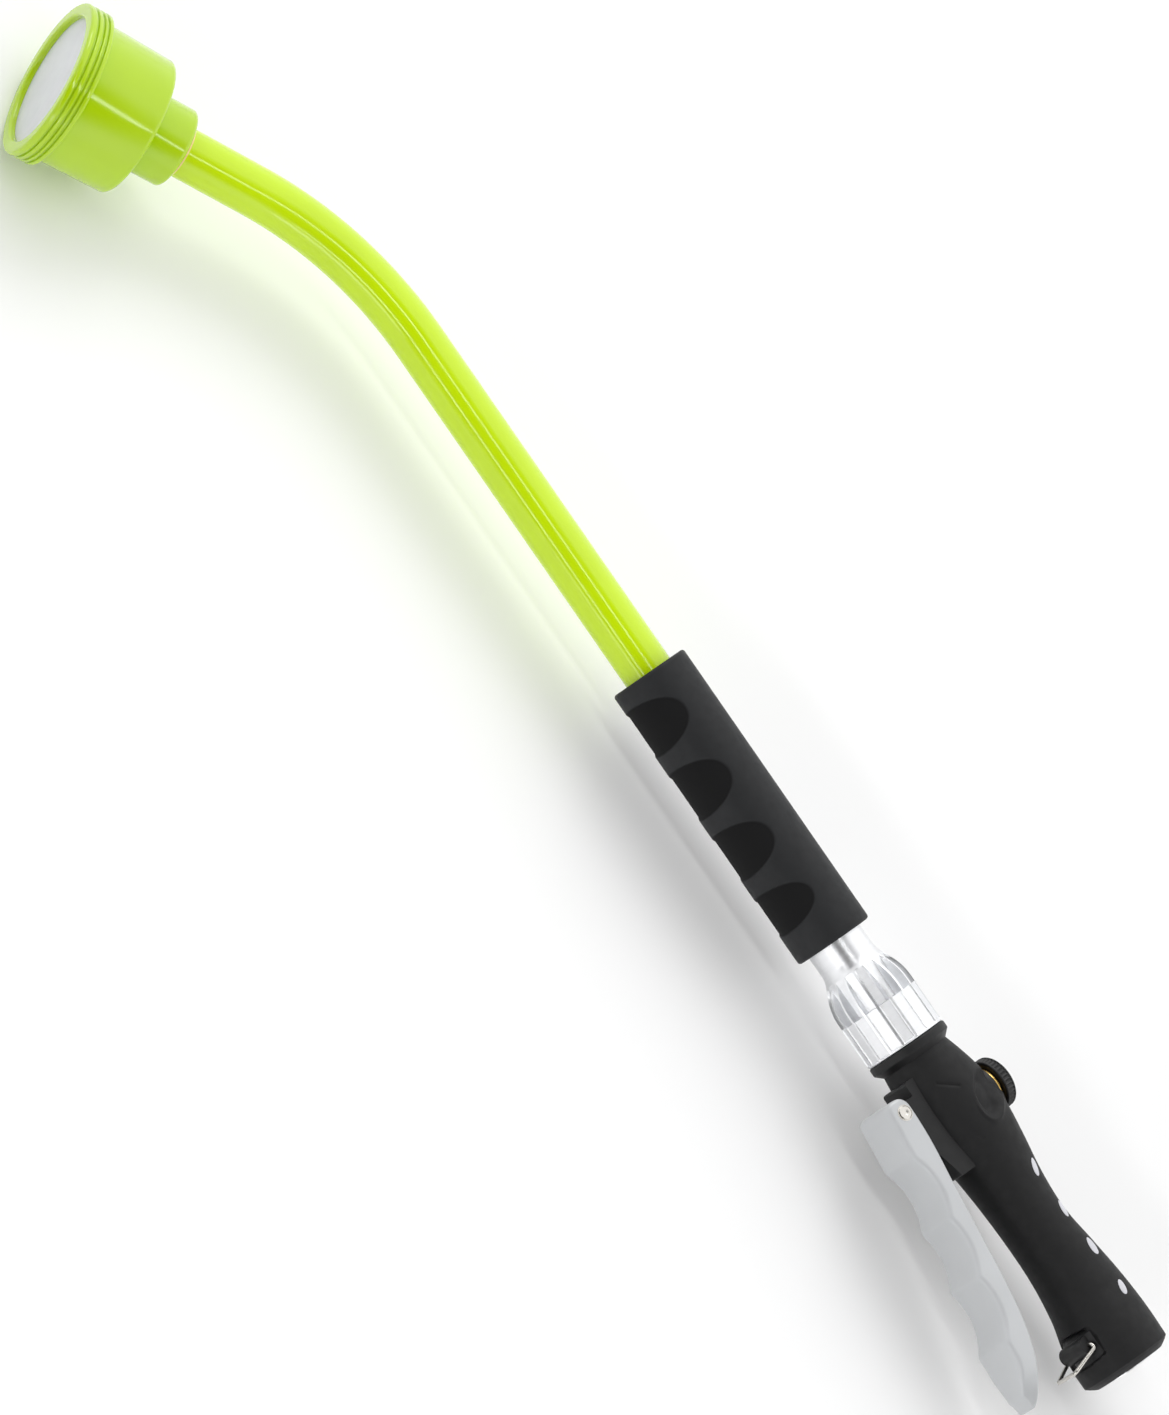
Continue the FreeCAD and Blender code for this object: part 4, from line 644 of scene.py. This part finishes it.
def lever_rivet():
    """The pin with its two domed heads, each with a countersunk centre."""
    half = 11.0
    head = [(0.0, half + 0.3), (0.7, half + 0.32), (1.0, half + 0.5), (2.3, half + 0.5),
            (2.55, half + 0.3), (2.6, half + 0.02), (2.8, half + 0.02), (2.85, half + 0.15),
            (3.05, half + 0.12), (3.05, half - 0.1), (1.5, half - 0.1)]
    corners = [(-h, r) for r, h in head] + [(h, r) for r, h in reversed(head)]
    settle(lathe("lever_rivet", corners, start=PIVOT, axis=UP, side=AHEAD, around=48),
           "lever", "steel", "lever_pin")


# ------------------------------------------------------------------- lock bail

BAIL_WIRE = 0.75
BAIL_BEND = 1.6
# Half of the wire's corners, from its foot to its crossbar, measured from the pivot
BAIL_SHAPE = [(0.0, 0.0, 5.9), (0.0, 0.0, 8.9), (-1.9, -0.2, 9.7), (-5.5, 10.9, 6.4)]


def lock_bail():
    """A bent wire whose two feet stand in the casting's boss."""
    half = [BAIL_PIVOT + np.array(spot) for spot in BAIL_SHAPE]
    other = [spot * np.array([1, 1, -1]) for spot in reversed(half)]
    settle(tube_along("bail_wire", bent(half + other, BAIL_BEND), BAIL_WIRE),
           "lock_bail", "steel", "lock_bail")


# ---------------------------------------------------------------- flow control

KNOB_RIBS = 40
KNOB_RADIUS = 10.0
KNOB_RIB_DEPTH = 0.55


def flow_knob():
    """A knurled knob with a dished face around its screw."""
    low, high = span("flow_knob")
    bottom, top = -high[1], -low[1]

    def knurl(along, out, turn):
        side = ease(along, bottom + 0.5, bottom + 1.0) * ease(-along, -top + 0.7, -top + 1.1)
        wave = np.abs(np.sin(turn * KNOB_RIBS / 2)) ** 0.6
        return np.where(out > KNOB_RADIUS - 1.2, out - KNOB_RIB_DEPTH * wave * side, out)

    profile = filled(rounded([
        (bottom, 2.2), (bottom, KNOB_RADIUS, 0.7), (top, KNOB_RADIUS, 1.1), (top, 7.2, 0.3),
        (top - 0.5, 6.6, 0.4), (top - 0.5, 2.85), (top - 1.6, 2.85), (top - 1.6, 2.2),
    ]), 0.25)
    start = np.array([VALVE_X, 0, 0])
    rows = spun(profile, KNOB_RIBS * 10, start, BACK, AHEAD, radial=knurl)
    settle(surface("knurled_knob", rows, True), "flow_knob", "black_plastic", "flow_knob")


def bonnet():
    top = -span("bonnet")[0][1]
    corners = [(top - 7.0, 2.25), (top - 7.0, 7.1), (top - 1.7, 7.1), (top - 1.7, 8.0, 0.2),
               (top, 8.0, 0.55), (top, 2.25)]
    settle(lathe("brass_bonnet", corners, start=np.array([VALVE_X, 0, 0]), axis=BACK,
                 side=AHEAD, around=96), "wand", "brass", "bonnet")


# --------------------------------------------------------- coupling, tube, grip

NUT_RADIUS = 15.85
NUT_NECK = 10.9
NUT_BORE = 10.1
NUT_THREAD = 13.25
NUT_THREAD_LENGTH = 14.9
FLUTES = 17
POCKET_START = 17.1
FLAT_FLOOR = 15.15
POCKET_FLOOR = 12.0


def coupling_nut():
    """A bright nut: shallow flats, then deep pockets that run out on its flare."""
    low, high = span("coupling_nut")
    length = high[0] - low[0]
    outer = rounded([
        (0.0, NUT_THREAD), (0.0, NUT_RADIUS, 0.6), (24.4, NUT_RADIUS, 22.0),
        (34.9, NUT_NECK, 9.0), (length, NUT_NECK), (length, NUT_BORE),
        (NUT_THREAD_LENGTH, NUT_BORE), (NUT_THREAD_LENGTH, NUT_THREAD)], steps=14)

    def fluted(along, out, turn):
        theta = ((turn * FLUTES / (2 * math.pi)) % 1.0 - 0.5) * 2 * math.pi / FLUTES
        beside_rib = ease(out * (math.pi / FLUTES - np.abs(theta)), 0.42, 0.68)
        floor = np.where(along < POCKET_START, FLAT_FLOOR, POCKET_FLOOR) / np.cos(theta)
        depth = np.clip(out - floor, 0, None) * beside_rib * ease(along, 0.7, 1.0)
        skin = (out > 13.3) | ((along > 15) & (out > 10.5))
        return np.where(skin, out - depth, out)

    profile = filled(outer, 0.28)
    rows = spun(profile, FLUTES * 28, np.array([low[0], 0, 0]), AHEAD, BACK, radial=fluted,
                phase=math.pi / FLUTES)
    settle(surface("fluted_nut", rows, True, sharp=44), "wand", "bright_aluminium",
           "coupling_nut")


BEND_RADIUS = 148.7
TUBE_WALL = 1.2
TUBE_IN_COLLAR = 13.0


def wand_tube():
    low, high = span("wand_tube")
    radius = high[2]
    end = HEAD_START + HEAD_AXIS * TUBE_IN_COLLAR
    turn = math.atan2(HEAD_AXIS[1], HEAD_AXIS[0])
    corner = HEAD_START[0] - HEAD_START[1] / math.tan(turn)
    reach = BEND_RADIUS * math.tan(turn / 2)
    bend_start = corner - reach
    straight = [np.array([x, 0, 0]) for x in np.linspace(low[0], bend_start, 60)[:-1]]
    curve = [np.array([bend_start + BEND_RADIUS * math.sin(a),
                       BEND_RADIUS * (1 - math.cos(a)), 0]) for a in np.linspace(0, turn, 60)]
    tail = [curve[-1] + (end - curve[-1]) * k / 12 for k in range(1, 13)]
    path = np.array(straight + curve + tail)
    way = np.gradient(path, axis=0)
    way /= np.linalg.norm(way, axis=1, keepdims=True)
    side = np.cross(way, UP)
    angle = np.arange(96) * 2 * math.pi / 96

    def loops(out):
        return (path[:, None] + out * (np.cos(angle)[None, :, None] * side[:, None]
                                       + np.sin(angle)[None, :, None] * UP))

    rows = np.concatenate([loops(radius), loops(radius - TUBE_WALL)[::-1]])
    settle(surface("painted_tube", rows, wrap=True), "wand", "green_paint", "wand_tube")


# Oval finger recesses: distance from the foam's nut end, and length along it
RECESSES = [(20.1, 17.2), (45.6, 20.0), (72.3, 20.8), (99.4, 20.2)]
RECESS_HALF_TURN = math.radians(72)
RECESS_POWER = 2.2
RECESS_DEPTH = 0.5


def foam_sleeve():
    low, high = span("foam_grip")
    length, radius = high[0] - low[0], high[2]

    def dish(along, turn):
        turn = (turn + math.pi) % (2 * math.pi) - math.pi
        inside = np.zeros_like(along)
        for middle_x, width in RECESSES:
            oval = (np.abs((along - middle_x) / (width / 2)) ** RECESS_POWER
                    + np.abs(turn / RECESS_HALF_TURN) ** RECESS_POWER) ** (1 / RECESS_POWER)
            inside = np.maximum(inside, ease(1 - oval, -0.012, 0.045))
        return inside

    def pressed(along, out, turn):
        return np.where(out > radius - 0.6, out - RECESS_DEPTH * dish(along, turn), out)

    profile = filled(rounded([(0.0, 9.6), (0.0, radius, 1.2), (length, radius, 1.2),
                              (length, 9.6)]), 0.42)
    rows = spun(profile, 260, np.array([low[0], 0, 0]), AHEAD, LEVER_SIDE, radial=pressed)
    foam = surface("foam_sleeve", rows, True, sharp=60)
    mark = foam.data.attributes.new("recess", "FLOAT", "POINT")
    spots = np.array([vertex.co for vertex in foam.data.vertices]) / MM
    turn = np.arctan2(spots[:, 2], spots[:, 1])
    out = np.hypot(spots[:, 1], spots[:, 2])
    shade = dish(spots[:, 0] - low[0], turn) * (out > radius - 1.5)
    mark.data.foreach_set("value", shade.astype(np.float32))
    settle(foam, "wand", "foam", "foam_grip")


# ---------------------------------------------------------------- watering head

def on_head(name, corners, finish, node, around=160, **ways):
    item = lathe(name, corners, start=HEAD_START, axis=HEAD_AXIS, side=UP, around=around, **ways)
    return settle(item, "wand", finish, node)


def watering_head():
    on_head("amber_ring", [(-SEAL_WIDTH, 9.55), (-SEAL_WIDTH, 10.3, 0.35), (0.05, 10.3, 0.2),
                           (0.05, 9.55)], "amber_seal", "end_seal")
    on_head("collar", [
        (0.0, 9.55), (0.0, 10.8, 0.2), (0.0, 15.2, 1.9), (16.35, 15.2), (16.35, 10.95),
        (23.4, 10.95), (23.4, 8.0), (13.0, 8.0), (13.0, 9.55)], "green_plastic", "head_collar")
    on_head("shell", [
        (16.4, 11.05), (16.4, 15.6), (16.55, 16.2, 0.3), (16.5, 26.6, 1.9), (45.2, 27.4),
        (50.0, 27.35), (50.0, 25.2), (18.6, 24.4, 1.5), (18.6, 13.2, 0.5), (23.4, 13.2),
        (23.4, 11.05)], "green_plastic", "head_shell")
    outer, groove_floor = 30.4, 29.4
    ridge = [(45.2, 27.45), (45.2, outer - 0.1, 1.7)]
    for groove_x in (47.5, 49.4, 51.9):
        ridge += [(groove_x - 0.55, outer, 0.4), (groove_x - 0.25, groove_floor, 0.2),
                  (groove_x + 0.25, groove_floor, 0.2), (groove_x + 0.55, outer, 0.4)]
    ridge += [(54.8, outer, 1.9), (54.8, 25.2, 1.3), (52.55, 25.0), (52.55, 27.45)]
    on_head("bezel", ridge, "green_plastic", "face_ring", around=192)
    plate_back = 50.9
    on_head("rose_plate", [(plate_back, 0.0), (plate_back + 1.6, 0.0),
                           (plate_back + 1.6, 26.9, 0.2), (plate_back, 26.9)],
            "grey_plate", "face_plate")


# -------------------------------------------------------------- stage and light
# Places and sizes from here on are in metres.

def plain(name, colour, rough):
    made = bpy.data.materials.new(name)
    made.use_nodes = True
    shader = made.node_tree.nodes["Principled BSDF"]
    shader.inputs["Base Color"].default_value = (*colour, 1)
    shader.inputs["Roughness"].default_value = rough
    return made


def stage():
    """A plain pale floor under the wand, wide enough for every view."""
    floor_height = cad_box[0].z
    size = 6.0
    mesh = bpy.data.meshes.new("floor")
    mesh.from_pydata([(-size, -size, floor_height), (size, -size, floor_height),
                      (size, size, floor_height), (-size, size, floor_height)], [], [(0, 1, 2, 3)])
    floor = bpy.data.objects.new("floor", mesh)
    bpy.context.scene.collection.objects.link(floor)
    mesh.materials.append(plain("pale_floor", (0.93, 0.93, 0.93), 0.9))


TENT_OPENING = (0.0, 0.568, 0.823)   # the way from the wand to the camera
CAMERA_UP = (0.8222, -0.4685, 0.323)
CAMERA_AIM = (0.305, 0.0212, -0.0147)
CAMERA_DISTANCE = 7.0
FRAME_HEIGHT = 0.5054                # what the picture's height covers, in metres
SENSOR = 36.0


def camera():
    """A long lens square to the wand, rolled so that the tube runs up to the left."""
    toward = Vector(TENT_OPENING).normalized()
    up = Vector(CAMERA_UP).normalized()
    right = up.cross(toward).normalized()
    up = toward.cross(right)
    lens = bpy.data.cameras.new("view")
    lens.sensor_width = SENSOR
    lens.lens = lens.sensor_width * CAMERA_DISTANCE / FRAME_HEIGHT
    lens.clip_start, lens.clip_end = 0.1, 50.0
    item = bpy.data.objects.new("view", lens)
    bpy.context.scene.collection.objects.link(item)
    item.matrix_world = Matrix((
        (right.x, up.x, toward.x, 0), (right.y, up.y, toward.y, 0),
        (right.z, up.z, toward.z, 0), (0, 0, 0, 1)))
    item.location = Vector(CAMERA_AIM) + toward * CAMERA_DISTANCE
    bpy.context.scene.camera = item


LIGHT_TARGET = (0.3, 0.0, 0.0)


def soft_light(name, place, size, power):
    light = bpy.data.lights.new(name, "AREA")
    light.shape = "RECTANGLE"
    light.size, light.size_y = size
    light.energy = power
    item = bpy.data.objects.new(name, light)
    item.location = place
    target = Vector(LIGHT_TARGET)
    item.rotation_euler = (target - Vector(place)).to_track_quat("-Z", "Y").to_euler()
    bpy.context.scene.collection.objects.link(item)


def studio():
    """A white light tent with a dark opening that the wand is seen through.

    Two long strips beside the opening draw the thin highlights along the tube.
    """
    world = bpy.data.worlds.new("studio")
    world.use_nodes = True
    nodes, links = world.node_tree.nodes, world.node_tree.links
    way = nodes.new("ShaderNodeTexCoord")
    facing = nodes.new("ShaderNodeVectorMath")
    facing.operation = "DOT_PRODUCT"
    facing.inputs[1].default_value = TENT_OPENING
    links.new(way.outputs["Generated"], facing.inputs[0])
    shade = nodes.new("ShaderNodeMapRange")
    shade.interpolation_type = "SMOOTHSTEP"
    for label, number in (("From Min", 0.6), ("From Max", 0.82), ("To Min", 1.3),
                          ("To Max", 0.05)):
        shade.inputs[label].default_value = number
    links.new(facing.outputs["Value"], shade.inputs["Value"])
    links.new(shade.outputs["Result"], nodes["Background"].inputs["Strength"])
    nodes["Background"].inputs["Color"].default_value = (1, 1, 1, 1)
    bpy.context.scene.world = world
    soft_light("key", (1.4, -1.0, 1.3), (0.9, 0.9), 9)
    soft_light("side", (-0.2, 1.6, 0.5), (1.2, 0.3), 3)
    soft_light("upper_strip", (0.3, 0.44, 1.95), (2.2, 0.16), 6)
    soft_light("lower_strip", (0.3, 1.67, 1.1), (2.2, 0.16), 6)
    bpy.context.scene.view_settings.view_transform = "Standard"


# ------------------------------------------------------------------- the scene

camera()
stage()
studio()
dress_frame()
handle_boot()
grip_inlays()
inlet_thread()
lever()
lever_rivet()
lock_bail()
flow_knob()
bonnet()
coupling_nut()
wand_tube()
foam_sleeve()
watering_head()
